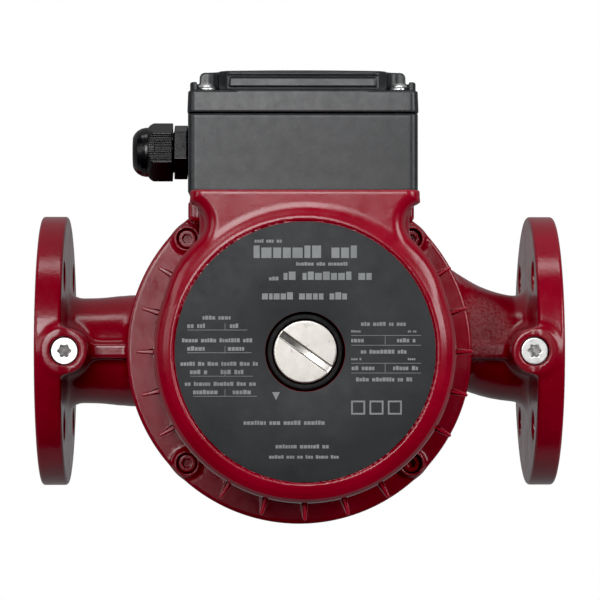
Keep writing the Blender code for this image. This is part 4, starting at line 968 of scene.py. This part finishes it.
def build_stage():
    bpy.ops.mesh.primitive_circle_add(vertices=96, radius=1.6, fill_type="NGON", location=(0, 0.1, -0.30))
    floor = bpy.context.object
    floor.name = "studio_floor"
    floor.data.materials.append(flat_material("floor_white", (0.86, 0.86, 0.86), 0.7))
    floor.visible_diffuse = floor.visible_glossy = False

    world = bpy.data.worlds.new("studio")
    scene.world = world
    world.use_nodes = True
    nodes, links = world.node_tree.nodes, world.node_tree.links
    seen = nodes["Background"]
    seen.inputs["Color"].default_value = (1, 1, 1, 1)
    seen.inputs["Strength"].default_value = 1.0
    lit = nodes.new("ShaderNodeBackground")
    lit.inputs["Color"].default_value = (0.97, 0.98, 1.0, 1)
    heading, parts, share = (nodes.new(f"ShaderNode{kind}") for kind in ("TexCoord", "SeparateXYZ", "MapRange"))
    share.interpolation_type = "SMOOTHSTEP"
    for key, value in (("From Min", -0.02), ("From Max", 0.06), ("To Min", FRONT_GLOW), ("To Max", BACK_GLOW)):
        share.inputs[key].default_value = value
    links.new(heading.outputs["Generated"], parts.inputs[0])
    links.new(parts.outputs["Y"], share.inputs["Value"])
    links.new(share.outputs["Result"], lit.inputs["Strength"])
    path, blend = nodes.new("ShaderNodeLightPath"), nodes.new("ShaderNodeMixShader")
    links.new(path.outputs["Is Camera Ray"], blend.inputs[0])
    links.new(lit.outputs[0], blend.inputs[1])
    links.new(seen.outputs[0], blend.inputs[2])
    links.new(blend.outputs[0], nodes["World Output"].inputs["Surface"])


def area_light(name, azimuth, elevation, distance, size, power):
    """A soft box in metres round the pump: azimuth 0 is in front, positive to the right."""
    light = bpy.data.lights.new(name, "AREA")
    light.shape = "RECTANGLE"
    light.size, light.size_y = size
    light.energy = power
    obj = bpy.data.objects.new(name, light)
    scene.collection.objects.link(obj)
    aim, turn, lift = Vector((0, -0.1, 0.02)), math.radians(azimuth), math.radians(elevation)
    away = Vector((math.sin(turn) * math.cos(lift), -math.cos(turn) * math.cos(lift), math.sin(lift)))
    obj.location = aim + distance * away
    obj.rotation_euler = (-away).to_track_quat("-Z", "Y").to_euler()


FRONT_GLOW, BACK_GLOW = 0.05, 0.28


def build_lights():
    area_light("front_high", -8, 17, 1.9, (0.9, 0.72), 17)
    area_light("overhead", 0, 80, 1.5, (1.3, 0.3), 5)
    area_light("side_left", -50, 14, 1.5, (0.6, 0.8), 3)
    area_light("front_left", -10.5, 0, 1.9, (0.24, 0.4), 2)
    area_light("side_right", 48, 18, 1.5, (0.6, 0.8), 9)


def build_camera():
    data = bpy.data.cameras.new("camera")
    data.sensor_width, data.lens = 36, 179.05
    data.clip_start, data.clip_end = 0.05, 20
    camera = bpy.data.objects.new("camera", data)
    scene.collection.objects.link(camera)
    camera.location = (-0.0208, -1.450, 0.0028)
    camera.rotation_euler = (math.radians(90.864), 0, math.radians(-0.864))
    scene.camera = camera


# ---- build
build_camera()
build_stage()
build_lights()
build_pump_housing()
build_tapping_plugs()
build_motor_housing()
build_motor_bolts()
build_vent_plug()
build_terminal_box()
build_gland()
build_nameplate()
finish_inner_nodes()
